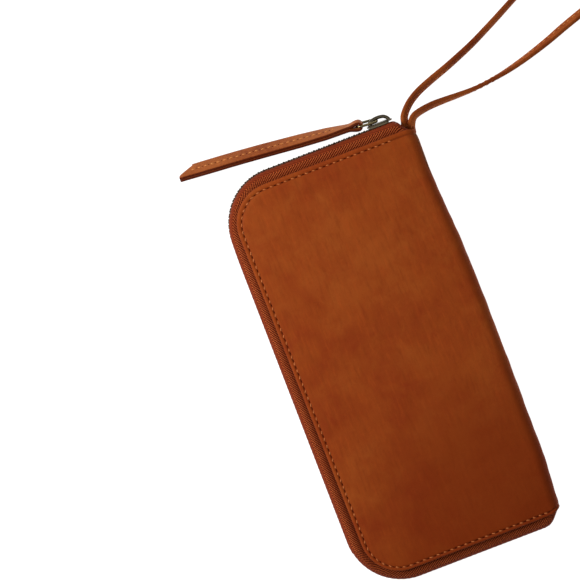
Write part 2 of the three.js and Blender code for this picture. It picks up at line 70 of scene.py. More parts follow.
# ------------------------------------------------------------------ mesh helpers (millimetres in, metres out)
def mesh_obj(name, verts, faces, mats=(), uv=None, smooth=True, face_mat=None, attrs=None):
    me = bpy.data.meshes.new(name)
    v = np.asarray(verts, float) * MM
    me.from_pydata([tuple(p) for p in v], [], [tuple(int(i) for i in f) for f in faces])
    for m in (mats if isinstance(mats, (list, tuple)) else [mats]):
        me.materials.append(m)
    if face_mat is not None:
        me.polygons.foreach_set("material_index", np.asarray(face_mat, np.int32))
    if uv is not None:
        layer = me.uv_layers.new(name="strip")
        vi = np.empty(len(me.loops), np.int32)
        me.loops.foreach_get("vertex_index", vi)
        layer.data.foreach_set("uv", np.asarray(uv, np.float32)[vi].ravel())
    for k, val in (attrs or {}).items():
        a = me.attributes.new(k, "FLOAT", "POINT")
        a.data.foreach_set("value", np.asarray(val, np.float32))
    me.update()
    if smooth:
        me.polygons.foreach_set("use_smooth", np.ones(len(me.polygons), bool))
    o = bpy.data.objects.new(name, me)
    bpy.context.scene.collection.objects.link(o)
    return o


def outward(o):
    bm = bmesh.new(); bm.from_mesh(o.data)
    bmesh.ops.recalc_face_normals(bm, faces=bm.faces)
    bm.to_mesh(o.data); bm.free(); o.data.update()
    return o


def loft(rings, closed_ring=True, cap=True, closed_path=False):
    """rings (m, n, 3) -> verts, faces"""
    R = np.asarray(rings, float); m, n = R.shape[:2]
    f = []
    mm = m if closed_path else m - 1
    for i in range(mm):
        a, b = i * n, ((i + 1) % m) * n
        for j in range(n if closed_ring else n - 1):
            k = (j + 1) % n
            f.append((a + j, a + k, b + k, b + j))
    if cap and not closed_path:
        f.append(tuple(range(n))[::-1]); f.append(tuple(range((m - 1) * n, m * n)))
    return R.reshape(-1, 3), f


class Bag:
    """collects many small pieces into one mesh"""
    def __init__(self):
        self.v, self.f, self.m, self.n = [], [], [], 0

    def add(self, verts, faces, mat=0):
        self.v.append(np.asarray(verts, float))
        self.f += [tuple(i + self.n for i in q) for q in faces]
        self.m += [mat] * len(faces)
        self.n += len(verts)

    def obj(self, name, mats, smooth=True):
        return mesh_obj(name, np.vstack(self.v), self.f, mats, smooth=smooth, face_mat=self.m)


def bevel_box(c, ax, half, r):
    """box with cut edges: centre, 3x3 axes as rows, half sizes, bevel"""
    c, ax, half = np.asarray(c, float), np.asarray(ax, float), np.asarray(half, float)
    r = min(r, 0.95 * half.min())
    V, idx = [], {}
    for sx in (-1, 1):
        for sy in (-1, 1):
            for sz in (-1, 1):
                s = np.array([sx, sy, sz])
                for k in range(3):
                    p = s * (half - r); p[k] = s[k] * half[k]
                    idx[(sx, sy, sz, k)] = len(V); V.append(c + p @ ax)
    F = []
    for k in range(3):
        a, b = [i for i in range(3) if i != k]
        for s in (-1, 1):
            q = []
            for (u, v) in ((-1, -1), (1, -1), (1, 1), (-1, 1)):
                t = [0, 0, 0]; t[k] = s; t[a] = u; t[b] = v
                q.append(idx[(t[0], t[1], t[2], k)])
            F.append(q)
        for u in (-1, 1):
            for v in (-1, 1):
                t0, t1 = [0, 0, 0], [0, 0, 0]
                t0[k], t1[k] = -1, 1
                t0[a] = t1[a] = u; t0[b] = t1[b] = v
                F.append([idx[(*t0, a)], idx[(*t1, a)], idx[(*t1, b)], idx[(*t0, b)]])
    for sx in (-1, 1):
        for sy in (-1, 1):
            for sz in (-1, 1):
                F.append([idx[(sx, sy, sz, k)] for k in range(3)])
    V = np.array(V)
    out = []
    for q in F:
        p = V[q]; nrm = np.cross(p[1] - p[0], p[2] - p[0])
        out.append(q if nrm @ (p.mean(0) - c) > 0 else q[::-1])
    return V, out


def capsule(c, d, up, length, rw, rh, n=7, segs=7):
    """a stitch: long axis d, width rw, height rh"""
    d = d / np.linalg.norm(d); up = up - d * (up @ d); up = up / np.linalg.norm(up); w = np.cross(up, d)
    V, F = [], []
    for i in range(segs):
        t = -1 + 2 * i / (segs - 1)
        k = math.sqrt(max(0.0, 1 - abs(t) ** 2.6)) * 0.92 + 0.08
        drop = 0.42 * rh * 2 * abs(t) ** 3
        for j in range(n):
            a = 2 * math.pi * j / n
            V.append(c + d * (t * length / 2) + w * (rw * k * math.cos(a)) + up * (rh * k * math.sin(a) - drop))
    for i in range(segs - 1):
        for j in range(n):
            k = (j + 1) % n
            F.append((i * n + j, i * n + k, (i + 1) * n + k, (i + 1) * n + j))
    F.append(tuple(range(n))[::-1]); F.append(tuple(range((segs - 1) * n, segs * n)))
    return np.array(V), F


# ------------------------------------------------------------------ material helpers
class Mat:
    def __init__(self, name):
        self.m = bpy.data.materials.new(name)
        self.m.use_nodes = True
        self.t = self.m.node_tree
        self.b = self.t.nodes["Principled BSDF"]
        self.co = self.t.nodes.new("ShaderNodeTexCoord").outputs["Object"]

    def node(self, kind, ins=(), **props):
        n = self.t.nodes.new("ShaderNode" + kind)
        for k, v in props.items():
            setattr(n, k, v)
        for k, v in dict(ins).items():
            s = n.inputs[k]
            if hasattr(v, "is_output") or isinstance(v, bpy.types.NodeSocket):
                self.t.links.new(v, s)
            else:
                s.default_value = v
        return n

    def noise(self, scale, detail=3, rough=0.5, vec=None, distort=0.0):
        return self.node("TexNoise", {"Vector": vec or self.co, "Scale": scale, "Detail": detail, "Roughness": rough, "Distortion": distort}).outputs["Fac"]

    def voronoi(self, scale, feature="F1", vec=None, smooth=None, out="Distance", rnd=1.0):
        n = self.node("TexVoronoi", {"Vector": vec or self.co, "Scale": scale, "Randomness": rnd}, feature=feature)
        return n.outputs[out]

    def ramp(self, fac, stops, interp="LINEAR"):
        n = self.node("ValToRGB", {"Fac": fac})
        n.color_ramp.interpolation = interp
        e = n.color_ramp.elements
        while len(e) < len(stops):
            e.new(0.5)
        for el, (p, c) in zip(e, stops):
            el.position = p
            el.color = (*c, 1) if len(c) == 3 else c
        return n.outputs["Color"]

    def math(self, op, a, b=0.0, clamp=False):
        n = self.node("Math", operation=op, use_clamp=clamp)
        for i, v in enumerate((a, b)):
            if isinstance(v, bpy.types.NodeSocket):
                self.t.links.new(v, n.inputs[i])
            else:
                n.inputs[i].default_value = v
        return n.outputs[0]

    def mix(self, fac, a, b, mode="MIX"):
        n = self.node("Mix", data_type="RGBA", blend_type=mode)
        for i, v in ((0, fac), (6, a), (7, b)):
            if isinstance(v, bpy.types.NodeSocket):
                self.t.links.new(v, n.inputs[i])
            else:
                n.inputs[i].default_value = v if i == 0 else ((*v, 1) if len(v) == 3 else v)
        return n.outputs[2]

    def mapping(self, scale=(1, 1, 1), rot=(0, 0, 0), vec=None):
        return self.node("Mapping", {"Vector": vec or self.co, "Scale": scale, "Rotation": rot}).outputs[0]

    def bump(self, height, strength, dist, normal=None):
        ins = {"Height": height, "Strength": strength, "Distance": dist}
        if normal is not None:
            ins["Normal"] = normal
        return self.node("Bump", ins).outputs[0]

    def attr(self, name):
        return self.node("Attribute", attribute_name=name).outputs["Fac"]

    def uv(self):
        return self.node("UVMap", uv_map="strip").outputs[0]

    def set(self, **kw):
        for k, v in kw.items():
            s = self.b.inputs[k.replace("_", " ")]
            if isinstance(v, bpy.types.NodeSocket):
                self.t.links.new(v, s)
            else:
                s.default_value = v
        return self.m


def srgb(r, g, b):
    f = lambda c: c / 12.92 if c <= 0.04045 else ((c + 0.055) / 1.055) ** 2.4
    return tuple(f(v / 255) for v in (r, g, b))


def leather(name, light, mid, dark, grain=1500, bump=0.25, rough=0.58, edge=None, spec=0.06, mottle=1.0, seed=0.0, painted_shade_spot=None):
    m = Mat(name)
    vec = m.node("VectorMath", {0: m.co, 1: (seed, seed * 0.7, seed * 1.3)}, operation="ADD").outputs[0]
    big = m.noise(26, 3, 0.55, vec, 0.4)
    med = m.noise(95, 4, 0.6, vec, 0.6)
    fine = m.noise(420, 4, 0.65, vec)
    v = m.math("ADD", m.math("MULTIPLY", big, 0.50), m.math("ADD", m.math("MULTIPLY", med, 0.36), m.math("MULTIPLY", fine, 0.14)))
    lo, hi = 0.5 - 0.11 / mottle, 0.5 + 0.11 / mottle
    col = m.ramp(v, [(lo, dark), (0.5, mid), (hi, light)])
    # red-brown and golden drift
    hue = m.noise(44, 2, 0.5, m.node("VectorMath", {0: vec, 1: (3.1, 1.7, 0.4)}, operation="ADD").outputs[0])
    col = m.mix(m.ramp(hue, [(0.42, (0, 0, 0)), (0.62, (0.33, 0.33, 0.33))]), col, tuple(min(1, c * k) for c, k in zip(mid, (1.16, 1.34, 1.2))))
    # pores and fine hairlines
    pore = m.voronoi(grain, "F1", vec)
    pores = m.ramp(pore, [(0.0, (0.72, 0.72, 0.72)), (0.28, (1, 1, 1))])
    col = m.mix(0.5, col, pores, "MULTIPLY")
    hair = m.noise(1.0, 3, 0.6, m.mapping((760, 120, 300), (0, 0, 0.37), vec))
    col = m.mix(m.ramp(hair, [(0.54, (0, 0, 0)), (0.70, (0.30, 0.30, 0.30))]), col, tuple(min(1, c * 1.42) for c in mid))
    col = m.mix(m.ramp(hair, [(0.30, (0.30, 0.30, 0.30)), (0.46, (0, 0, 0))]), col, tuple(c * 0.66 for c in mid))
    # painted shade: darkens the colour within a given distance of one point, standing in for the light falling off
    # there
    if painted_shade_spot:
        d = m.node("VectorMath", {0: m.co, 1: painted_shade_spot[0]}, operation="DISTANCE").outputs["Value"]
        col = m.mix(m.ramp(m.math("DIVIDE", d, painted_shade_spot[1]), [(0.0, (painted_shade_spot[2],) * 3), (0.35, (painted_shade_spot[2] * 0.8,) * 3), (1.0, (0, 0, 0))], "EASE"), col, tuple(c * k for c, k in zip(dark, (0.74, 0.62, 0.35))))
    if edge is not None:
        # mixes in the edge colour by the 'edge' attribute: on strap and pull that is the leather's own edge colour, on
        # the cover it also carries painted shade in the stitch groove and on the spine's rounded corners
        e = m.attr("edge")
        col = m.mix(e, col, edge)
    g1 = m.voronoi(grain * 0.62, "SMOOTH_F1", vec)
    g2 = m.noise(grain * 1.6, 3, 0.6, vec)
    h = m.math("ADD", m.math("MULTIPLY", g1, 0.75), m.math("MULTIPLY", g2, 0.35))
    n1 = m.bump(h, bump, 0.00022)
    n2 = m.bump(m.noise(150, 3, 0.6, vec), 0.30, 0.0006, n1)
    r = m.ramp(m.noise(210, 3, 0.6, vec), [(0.3, (rough - 0.07,) * 3), (0.7, (rough + 0.09,) * 3)])
    return m.set(Base_Color=col, Roughness=r, Normal=n2, Specular_IOR_Level=spec)


def metal(name, base, hi, rough=0.36, bump=0.18, scale=900):
    m = Mat(name)
    n = m.noise(scale, 4, 0.6)
    big = m.noise(160, 3, 0.6)
    col = m.mix(m.ramp(big, [(0.35, (0, 0, 0)), (0.7, (1, 1, 1))]), base, hi)
    col = m.mix(m.ramp(n, [(0.42, (0, 0, 0)), (0.7, (0.45, 0.45, 0.45))]), col, tuple(c * 0.45 for c in base))
    geo = m.node("NewGeometry").outputs["Pointiness"]
    wear = m.ramp(geo, [(0.505, (0, 0, 0)), (0.56, (0.55, 0.55, 0.55))])
    col = m.mix(wear, col, tuple(min(1, c * 2.2) for c in hi))
    r = m.ramp(n, [(0.3, (rough - 0.1,) * 3), (0.75, (rough + 0.16,) * 3)])
    return m.set(Base_Color=col, Metallic=1.0, Roughness=r, Normal=m.bump(n, bump, 0.0001))


def thread(name, c, dark):
    m = Mat(name)
    tw = m.node("TexWave", {"Vector": m.mapping((1, 1, 1), (0.4, 0.3, 0.8)), "Scale": 1400, "Distortion": 1.5, "Detail": 1}).outputs["Fac"]
    col = m.mix(m.noise(600, 3), c, dark)
    # darker where the twist's bump height is low: painted shade in the grooves between plies
    col = m.mix(m.ramp(tw, [(0.1, (0.5, 0.5, 0.5)), (0.7, (0, 0, 0))]), col, tuple(v * 0.55 for v in dark))
    return m.set(Base_Color=col, Roughness=0.75, Normal=m.bump(tw, 0.4, 0.00012), Specular_IOR_Level=0.08)


LIGHT = srgb(160, 76, 26); MIDC = srgb(150, 64, 20); DARK = srgb(142, 54, 17)
# the cover's colour is darkened towards its far (+X, -Y) corner: painted shade standing in for the light falling off
# there
M_COVER = leather("cover_leather", LIGHT, MIDC, DARK, edge=srgb(88, 30, 9), mottle=0.85, painted_shade_spot=((0.030, -0.088, 0.012), 0.088, 0.80))
M_INNER = leather("inner_leather", srgb(160, 86, 44), srgb(143, 71, 33), srgb(122, 56, 24), grain=1900, bump=0.15, mottle=0.8, seed=2.0)
M_STRAP = leather("strap_leather", srgb(174, 98, 48), srgb(160, 84, 39), srgb(138, 64, 26), grain=2200, bump=0.14, edge=srgb(82, 26, 8), mottle=1.1, seed=5.0, rough=0.5)
M_CORD = leather("wrist_strap_leather", srgb(182, 96, 44), srgb(164, 80, 34), srgb(134, 58, 24), grain=2200, bump=0.14, edge=srgb(78, 28, 9), mottle=1.2, seed=8.0, rough=0.6, spec=0.02)
M_EDGE = leather("strap_edge", srgb(140, 62, 28), srgb(112, 44, 17), srgb(78, 28, 10), grain=2600, bump=0.2, mottle=1.2, seed=9.0, rough=0.5)
M_THREAD = thread("edge_thread", srgb(222, 134, 76), srgb(198, 104, 54))
M_THREAD2 = thread("strap_thread", srgb(236, 162, 96), srgb(210, 126, 66))
M_TEETH = metal("antique_teeth", srgb(44, 37, 27), srgb(80, 68, 50), 0.38)
M_SLIDER = metal("antique_slider", srgb(42, 38, 30), srgb(86, 78, 62), 0.23)
M_LINK = metal("antique_link", srgb(70, 61, 40), srgb(124, 112, 78), 0.24)


# flat dark marks laid between stitches: painted shade standing in for the shadowed stitch holes
def hole_shade_mat():
    m = Mat("stitch_hole_shade")
    return m.set(Base_Color=m.mix(m.noise(900, 2), srgb(86, 26, 8), srgb(62, 18, 6)), Roughness=1.0, Specular_IOR_Level=0.02)


M_HOLE_SHADE = hole_shade_mat()


# the tape's own colour is the mid tone; the darkest tone is painted shade and the lightest is painted highlight for the
# rib relief
TAPE_RIB_SHADE, TAPE_M, TAPE_RIB_HIGHLIGHT, TAPE_P = srgb(46, 8, 3), srgb(112, 36, 11), srgb(222, 112, 56), srgb(127, 47, 17)


def tape_mat():
    """woven herringbone tape: UV is millimetres along and across"""
    m = Mat("zip_tape_weave")
    uv = m.uv()
    sep = m.node("SeparateXYZ", {"Vector": uv})
    u, v = sep.outputs["X"], sep.outputs["Y"]
    # herringbone: the twill leans one way beside the leather, the other way beside the teeth
    zig = m.math("PINGPONG", v, 4.0)
    wob = m.math("MULTIPLY", m.noise(420, 2), 0.30)
    ph = m.math("ADD", m.math("ADD", u, wob), m.math("MULTIPLY", zig, 1.35))
    rib = m.math("SINE", m.math("MULTIPLY", ph, 2 * math.pi / 1.36))
    yarn = m.math("SINE", m.math("MULTIPLY", m.math("SUBTRACT", m.math("MULTIPLY", zig, 1.0), m.math("MULTIPLY", u, 0.75)), 2 * math.pi / 0.8))
    h = m.math("ADD", m.math("MULTIPLY", rib, 0.42), m.math("MULTIPLY", yarn, 0.20))
    # plain woven edge beside the teeth
    plain = m.ramp(m.math("DIVIDE", v, 12.0), [(0.0, (0, 0, 0)), (0.29, (0, 0, 0)), (0.36, (1, 1, 1))])
    pw = m.math("MULTIPLY", m.math("SINE", m.math("MULTIPLY", u, 2 * math.pi / 0.8)), m.math("SINE", m.math("MULTIPLY", v, 2 * math.pi / 0.7)))
    h = m.math("ADD", m.math("MULTIPLY", h, plain), m.math("MULTIPLY", m.math("ADD", m.math("MULTIPLY", pw, 0.14), m.math("MULTIPLY", rib, 0.12)), m.math("SUBTRACT", 1.0, plain)))
    big = m.noise(130, 3, 0.6)
    # ribs coloured by their height: painted shade in the valleys between ribs, painted highlight on the rib tops
    col = m.ramp(m.math("ADD", h, 0.5), [(0.05, TAPE_RIB_SHADE), (0.5, TAPE_M), (0.92, TAPE_RIB_HIGHLIGHT)])
    col = m.mix(m.ramp(big, [(0.35, (0, 0, 0)), (0.7, (0.3, 0.3, 0.3))]), col, TAPE_M)
    col = m.mix(m.math("MULTIPLY", m.math("SUBTRACT", 1.0, plain), 0.45), col, TAPE_P)
    h2 = h
    # darker where the tape comes out from under the leather's edge: painted shade cast by the leather
    e = m.attr("edge")
    col = m.mix(e, col, srgb(70, 19, 6))
    return m.set(Base_Color=col, Roughness=0.75, Normal=m.bump(h2, 0.75, 0.00028), Specular_IOR_Level=0.04)


M_TAPE = tape_mat()


def cloth_mat(name, a, b):
    m = Mat(name)
    w1 = m.node("TexWave", {"Vector": m.co, "Scale": 620, "Distortion": 0.6}, bands_direction="X").outputs["Fac"]
    w2 = m.node("TexWave", {"Vector": m.co, "Scale": 620, "Distortion": 0.6}, bands_direction="Y").outputs["Fac"]
    h = m.math("MAXIMUM", w1, w2)
    col = m.mix(m.noise(200, 3), a, b)
    # darker where the weave's bump height is low: painted shade between the threads
    col = m.mix(m.ramp(h, [(0.3, (0.5, 0.5, 0.5)), (0.9, (0, 0, 0))]), col, tuple(c * 0.5 for c in b))
    return m.set(Base_Color=col, Roughness=0.85, Normal=m.bump(h, 0.4, 0.00012), Specular_IOR_Level=0.2)


M_LINING = cloth_mat("lining_twill", srgb(134, 92, 62), srgb(112, 74, 48))
M_BOARD = cloth_mat("board_fibre", srgb(188, 160, 122), srgb(170, 142, 106))

# ------------------------------------------------------------------ wrist strap (the one free cord), first
STRAP = [
    (42.7, 94.2, 12), (43.6, 97, 11.3), (47.5, 101.2, 8.9), (53, 104.5, 6),
    (60.3, 107.3, 3.8), (68.3, 110, 2.75), (76, 112.9, 2.6), (83.6, 116, 2.6),
    (91.2, 119.6, 2.6), (98.1, 123, 2.6), (106.3, 127.2, 2.6), (116.5, 132.3, 2.6),
    (128.4, 137.9, 2.6), (141.3, 143.7, 2.6), (155.3, 148.6, 2.6), (167.2, 151.3, 2.6),
    (177.2, 150.6, 2.6), (184.1, 145.6, 2.6), (185.7, 138.2, 2.6), (181.2, 130.8, 2.6),
    (171.7, 124.4, 2.6), (159.3, 119.4, 2.6), (146.3, 115.2, 2.6), (133.1, 111.1, 2.6),
    (123.8, 108, 2.6), (116.1, 105.2, 2.6), (107.9, 102.6, 2.6), (100, 100.4, 2.6),
    (91.9, 98.6, 2.6), (83.8, 97.4, 2.75), (76.6, 96.8, 3.1), (69.6, 96.8, 3.9),
    (62.7, 97, 5.3), (56.2, 97, 7.4), (50.8, 96.2, 9.7), (47.3, 95.6, 11.5),
    (45.9, 94.6, 12),
]


def spline(P, n):
    """centripetal Catmull-Rom through P, resampled to n even steps"""
    P = np.asarray(P, float)
    Q = np.vstack([2 * P[0] - P[1], P, 2 * P[-1] - P[-2]])
    out = []
    for i in range(1, len(Q) - 2):
        p0, p1, p2, p3 = Q[i - 1:i + 3]
        t0 = 0; t1 = t0 + np.linalg.norm(p1 - p0) ** .5; t2 = t1 + np.linalg.norm(p2 - p1) ** .5; t3 = t2 + np.linalg.norm(p3 - p2) ** .5
        for t in np.linspace(t1, t2, 24, endpoint=False):
            a1 = (t1 - t) / (t1 - t0) * p0 + (t - t0) / (t1 - t0) * p1
            a2 = (t2 - t) / (t2 - t1) * p1 + (t - t1) / (t2 - t1) * p2
            a3 = (t3 - t) / (t3 - t2) * p2 + (t - t2) / (t3 - t2) * p3
            b1 = (t2 - t) / (t2 - t0) * a1 + (t - t0) / (t2 - t0) * a2
            b2 = (t3 - t) / (t3 - t1) * a2 + (t - t1) / (t3 - t1) * a3
            out.append((t2 - t) / (t2 - t1) * b1 + (t - t1) / (t2 - t1) * b2)
    out.append(P[-1]); out = np.array(out)
    s = np.r_[0, np.cumsum(np.linalg.norm(np.diff(out, axis=0), axis=1))]
    k = np.linspace(0, s[-1], n)
    return np.stack([np.interp(k, s, out[:, i]) for i in range(3)], 1), s[-1]


def strip_section(w, h, ew=0.35, nb=3):
    """flat strap section, width w (across), thickness h, softly rounded edges; returns (a, b, edge)"""
    pts = []
    hw, hh = w / 2, h / 2
    for t in np.linspace(-1, 1, 9):                        # face +
        pts.append((t * (hw - ew), hh + 0.10 * (1 - t * t), 0.0))
    for a in np.linspace(math.pi / 2, -math.pi / 2, 7)[1:-1]:
        pts.append((hw - ew + ew * math.cos(a) * 1.2, hh * math.sin(a), 1.0))
    for t in np.linspace(1, -1, 9):
        pts.append((t * (hw - ew), -hh - 0.10 * (1 - t * t), 0.0))
    for a in np.linspace(-math.pi / 2, -3 * math.pi / 2, 7)[1:-1]:
        pts.append((-hw + ew + ew * math.cos(a) * 1.2, hh * math.sin(a), 1.0))
    return np.array(pts)


def frames(P):
    t = np.gradient(P, axis=0); t /= np.linalg.norm(t, axis=1)[:, None]
    side = np.stack([-t[:, 1], t[:, 0], np.zeros(len(t))], 1)
    side /= np.linalg.norm(side, axis=1)[:, None]
    upv = np.cross(t, side)
    return t, side, upv


STRAP_T = 1.75
STRAP = [(41.3, 88.6, 12), (41.7, 91.6, 12)] + STRAP[:-3] + [(50.4, 96.3, 9.7), (47.7, 95.4, 11.1), (46.1, 93.9, 11.9), (44.9, 91.6, 12), (44.3, 88.6, 12)]
path, STRAP_LEN = spline(STRAP, 440)
S_frac = np.linspace(0, 1, len(path))
# lean of the upright strap: its right-hand (inner) face turns up where positive
roll = np.radians(np.interp(S_frac, [0, .06, .12, .18, .3, .45, .6, .68, .74, .82, .88, .94, 1.0],
                            [28, 30, 27, 22, 17, 20, 28, 31, 27, 11, -8, -26, -30]))
tt, side, upv = frames(path)
wdir = upv * np.cos(roll)[:, None] + side * np.sin(roll)[:, None]      # the strap's width
ndir = np.cross(tt, wdir)                                               # its face normal
base = path.copy()
base[:, 2] = np.maximum(path[:, 2], 0.15 + 2.5 * np.cos(roll) + 1.2 * np.abs(np.sin(roll)))
sec = strip_section(4.9, STRAP_T)
rings = base[:, None, :] + wdir[:, None, :] * sec[None, :, 0, None] + ndir[:, None, :] * sec[None, :, 1, None]
V, F = loft(rings)
strap = mesh_obj("wrist_strap_leather", V, F, M_CORD, attrs={"edge": np.tile(sec[:, 2] * 0.35, len(base))})
outward(strap)
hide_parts("wrist_strap"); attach(strap, "back")
# stitches on both faces of the strap, near one edge of it
bag = Bag()
for sgn in (1, -1):
    for k in np.arange(2.0, STRAP_LEN - 2.0, 2.9):
        i = int(k / STRAP_LEN * (len(base) - 1))
        off = -0.2
        c = base[i] + wdir[i] * off + ndir[i] * sgn * (STRAP_T / 2 + 0.10)
        v, f = capsule(c, tt[i], ndir[i] * sgn, 2.1, 0.27, 0.22, 6, 5)
        bag.add(v, f, 0)
        # the dark mark between stitches is painted shade for the stitch hole
        h = base[i] + tt[i] * 1.45 + wdir[i] * off + ndir[i] * sgn * (STRAP_T / 2 + 0.08)
        v, f = capsule(h, tt[i], ndir[i] * sgn, 0.75, 0.3, 0.07, 6, 3)
        bag.add(v, f, 1)
strap_st = bag.obj("wrist_strap_stitches", [M_THREAD2, M_HOLE_SHADE]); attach(strap_st, "back")

# ------------------------------------------------------------------ the outer leather: one hide folded round the spine
SPX, SPR, LX, HY, RC, LTH = 48.0, 4.5, -43.5, 92.0, 18.0, 1.4


def seam_at(y):
    """distance of the stitch line from the leather's edge: widest along the slider's short side"""
    y = np.asarray(y, float)
    return 2.0 + (0.3 * (y > 0) - 0.3 * (y < 0)) * np.clip((np.abs(y) - 62) / 24, 0, 1)



flat_len = (SPX - SPR) - LX
arc_len = SPR * math.pi / 2
wall = T - 2 * SPR
S_TOT = 2 * flat_len + 2 * arc_len + wall


def profile(s):
    """unrolled length s -> x, z and outward normal of the outer surface"""
    s = np.asarray(s, float)
    x = np.empty_like(s); z = np.empty_like(s); nx = np.empty_like(s); nz = np.empty_like(s)
    cx = SPX - SPR
    a = s <= flat_len
    x[a] = LX + s[a]; z[a] = T; nx[a] = 0; nz[a] = 1
    b = (s > flat_len) & (s <= flat_len + arc_len)
    th = (s[b] - flat_len) / SPR
    x[b] = cx + SPR * np.sin(th); z[b] = T - SPR + SPR * np.cos(th); nx[b] = np.sin(th); nz[b] = np.cos(th)
    c = (s > flat_len + arc_len) & (s <= flat_len + arc_len + wall)
    x[c] = SPX; z[c] = T - SPR - (s[c] - flat_len - arc_len); nx[c] = 1; nz[c] = 0
    d = (s > flat_len + arc_len + wall) & (s <= S_TOT - flat_len)
    th = (s[d] - flat_len - arc_len - wall) / SPR
    x[d] = cx + SPR * np.cos(th); z[d] = SPR - SPR * np.sin(th); nx[d] = np.cos(th); nz[d] = -np.sin(th)
    e = s > S_TOT - flat_len
    x[e] = LX + (S_TOT - s[e]); z[e] = 0; nx[e] = 0; nz[e] = -1
    return x, z, nx, nz


def smooth01(t):
    t = np.clip(t, 0, 1); return t * t * (3 - 2 * t)


def ylim(s):
    m = S_TOT / 2
    d = np.abs(np.asarray(s, float) - m)   # from the spine's middle
    far = np.where(np.asarray(s, float) > m, 1.0, 0.0)      # the back tucks in further round the strap's roots
    return HY - 1.35 * (1 - smooth01((d - 8.0) / (7.0 + 7 * far))) - 1.6 * far * (1 - smooth01((d - 12) / 14)) * smooth01((d - 3) / 6)


def edge_dist(s, y):
    es = np.minimum(s, S_TOT - s); ey = ylim(s) - np.abs(y)
    e = np.minimum(es, ey)
    k = (es < RC) & (ey < RC)
    e = np.where(k, RC - np.hypot(RC - np.minimum(es, RC), RC - np.minimum(ey, RC)), e)
    return e


def wav(x, y, seed):
    r = np.random.default_rng(seed); o = 0
    for k in range(7):
        f = r.uniform(0.03, 0.13); a = r.uniform(0, 2 * math.pi); p = r.uniform(0, 6.28)
        o = o + np.sin(2 * math.pi * f * (x * math.cos(a) + y * math.sin(a)) + p) / (1 + 9 * f)
    return o / 7


_sy = np.array([-100, -92, -88, -80, -70, -60, -40, -20, 0, 20, 40, 50, 60, 70, 80, 86, 92, 100], float)
_sx = np.array([-2.3, -2.1, -1.8, -1.45, -.85, -.45, -.5, -.35, -.25, -.4, -.95, -1.6, -2.3, -2.7, -2.6, -2.45, -2.4, -2.4])
_ty = np.linspace(-100, 100, 401)
_tx = np.convolve(np.pad(np.interp(_ty, _sy, _sx), 12, mode="edge"), np.hanning(25) / np.hanning(25).sum(), mode="valid")


def spine_pull(y):
    """the spine's middle stands out, its ends are pinched in by the folded corners"""
    return np.interp(y, _ty, _tx)


def surf(s, y, off=0.0):
    """point on the outer leather, off = extra height along its normal"""
    s, y = np.asarray(s, float), np.asarray(y, float)
    x, z, nx, nz = profile(s)
    e = edge_dist(s, y)
    R = 0.75
    t = np.clip(1 - e / R, 0, 1)
    h = -R * (1 - np.sqrt(np.clip(1 - t * t, 0, 1))) * 0.9
    sm = seam_at(y)
    h = h - 0.27 * np.exp(-((e - sm) / 0.42) ** 2) + 0.05 * np.exp(-((e - sm * 0.5) / 0.5) ** 2)
    pil = 1 - np.exp(-np.maximum(e - sm - 0.2, 0) / 4.5)
    top = s <= flat_len + arc_len
    under = s >= S_TOT - flat_len - arc_len
    crown = np.where(top, 0.55 * (1 - (np.clip(x, LX, 46) - 1) ** 2 / 46 ** 2) * (1 - (y / 98) ** 2), 0)
    h = h + np.where(under, 0.0, 0.38 * pil) + crown
    h = h + np.where(under, 0.0, 0.34 * wav(x, y, 3) * smooth01((e - 1.2) / 6))
    # the spine's wall bows in softly along its length
    w_sp = smooth01((x - 30) / 16)
    h = h + np.where(~top & ~under, 0.25 * wav(z * 2.2, y, 5) * 2, 0)
    h = h + off
    X = x + nx * h + w_sp * spine_pull(y) + w_sp * 0.22 * wav(y * 1.7, y, 8)
    X = X + (0.25 - 0.009 * np.clip(y, -75, 75)) * (1 - smooth01((x + 44) / 30))
    Z = z + nz * h
    # pinched corners at both ends of the spine
    pin = smooth01((x - 26) / 20) * smooth01((np.abs(y) - 62) / 30)
    Z = np.where(Z > MID, Z - 0.8 * pin * (Z - MID) / MID, Z)
    Z = np.maximum(Z, 0.04)
    return np.stack([X, np.broadcast_to(y, X.shape), Z], -1)


def axis_lines(L, R, mid_step, fixed=()):
    e = [0, .1, .25, .45, .7, .95, 1.15, 1.35, 1.5, 1.65, 1.8, 1.95, 2.1, 2.25, 2.4, 2.55, 2.7, 2.85, 3.0, 3.2, 3.5, 4.0, 4.8, 5.9, 7.2, 8.8, 10.6, 12.8, 15.2, R]
    n = max(2, int(round((L - 2 * R) / mid_step)))
    mid = list(np.linspace(R, L - R, n + 1))[1:-1]
    return np.array(e + mid + [L - k for k in e[::-1]])


s_lines = axis_lines(S_TOT, RC, 1.7)
extra = np.linspace(flat_len - 1, S_TOT - flat_len + 1, 46)
s_lines = np.unique(np.round(np.concatenate([s_lines[(s_lines < flat_len - 1.5) | (s_lines > S_TOT - flat_len + 1.5)], extra]), 4))
v_lines = axis_lines(2 * HY, RC, 1.9) - HY          # -HY..HY, scaled to the local limit


def cover_grid(s_lines, v_lines):
    Sg, Vg = np.meshgrid(s_lines, v_lines, indexing="ij")
    yl = ylim(Sg)
    ey = HY - np.abs(Vg)
    y = np.sign(Vg) * (yl - ey)
    inner = ey > RC
    y = np.where(inner, Vg / (HY - RC) * (yl - RC), y)
    es = np.minimum(Sg, S_TOT - Sg)
    k = (es < RC) & (ey < RC)
    u, v = 1 - np.minimum(es, RC) / RC, 1 - np.minimum(ey, RC) / RC
    uu, vv = u * np.sqrt(1 - v * v / 2), v * np.sqrt(1 - u * u / 2)
    es2, ey2 = RC - RC * uu, RC - RC * vv
    s2 = np.where(Sg < S_TOT / 2, es2, S_TOT - es2)
    y2 = np.sign(Vg) * (yl - ey2)
    return np.where(k, s2, Sg), np.where(k, y2, y)


Sg, Yg = cover_grid(s_lines, v_lines)
outer = surf(Sg, Yg)
Eg = edge_dist(Sg, Yg)
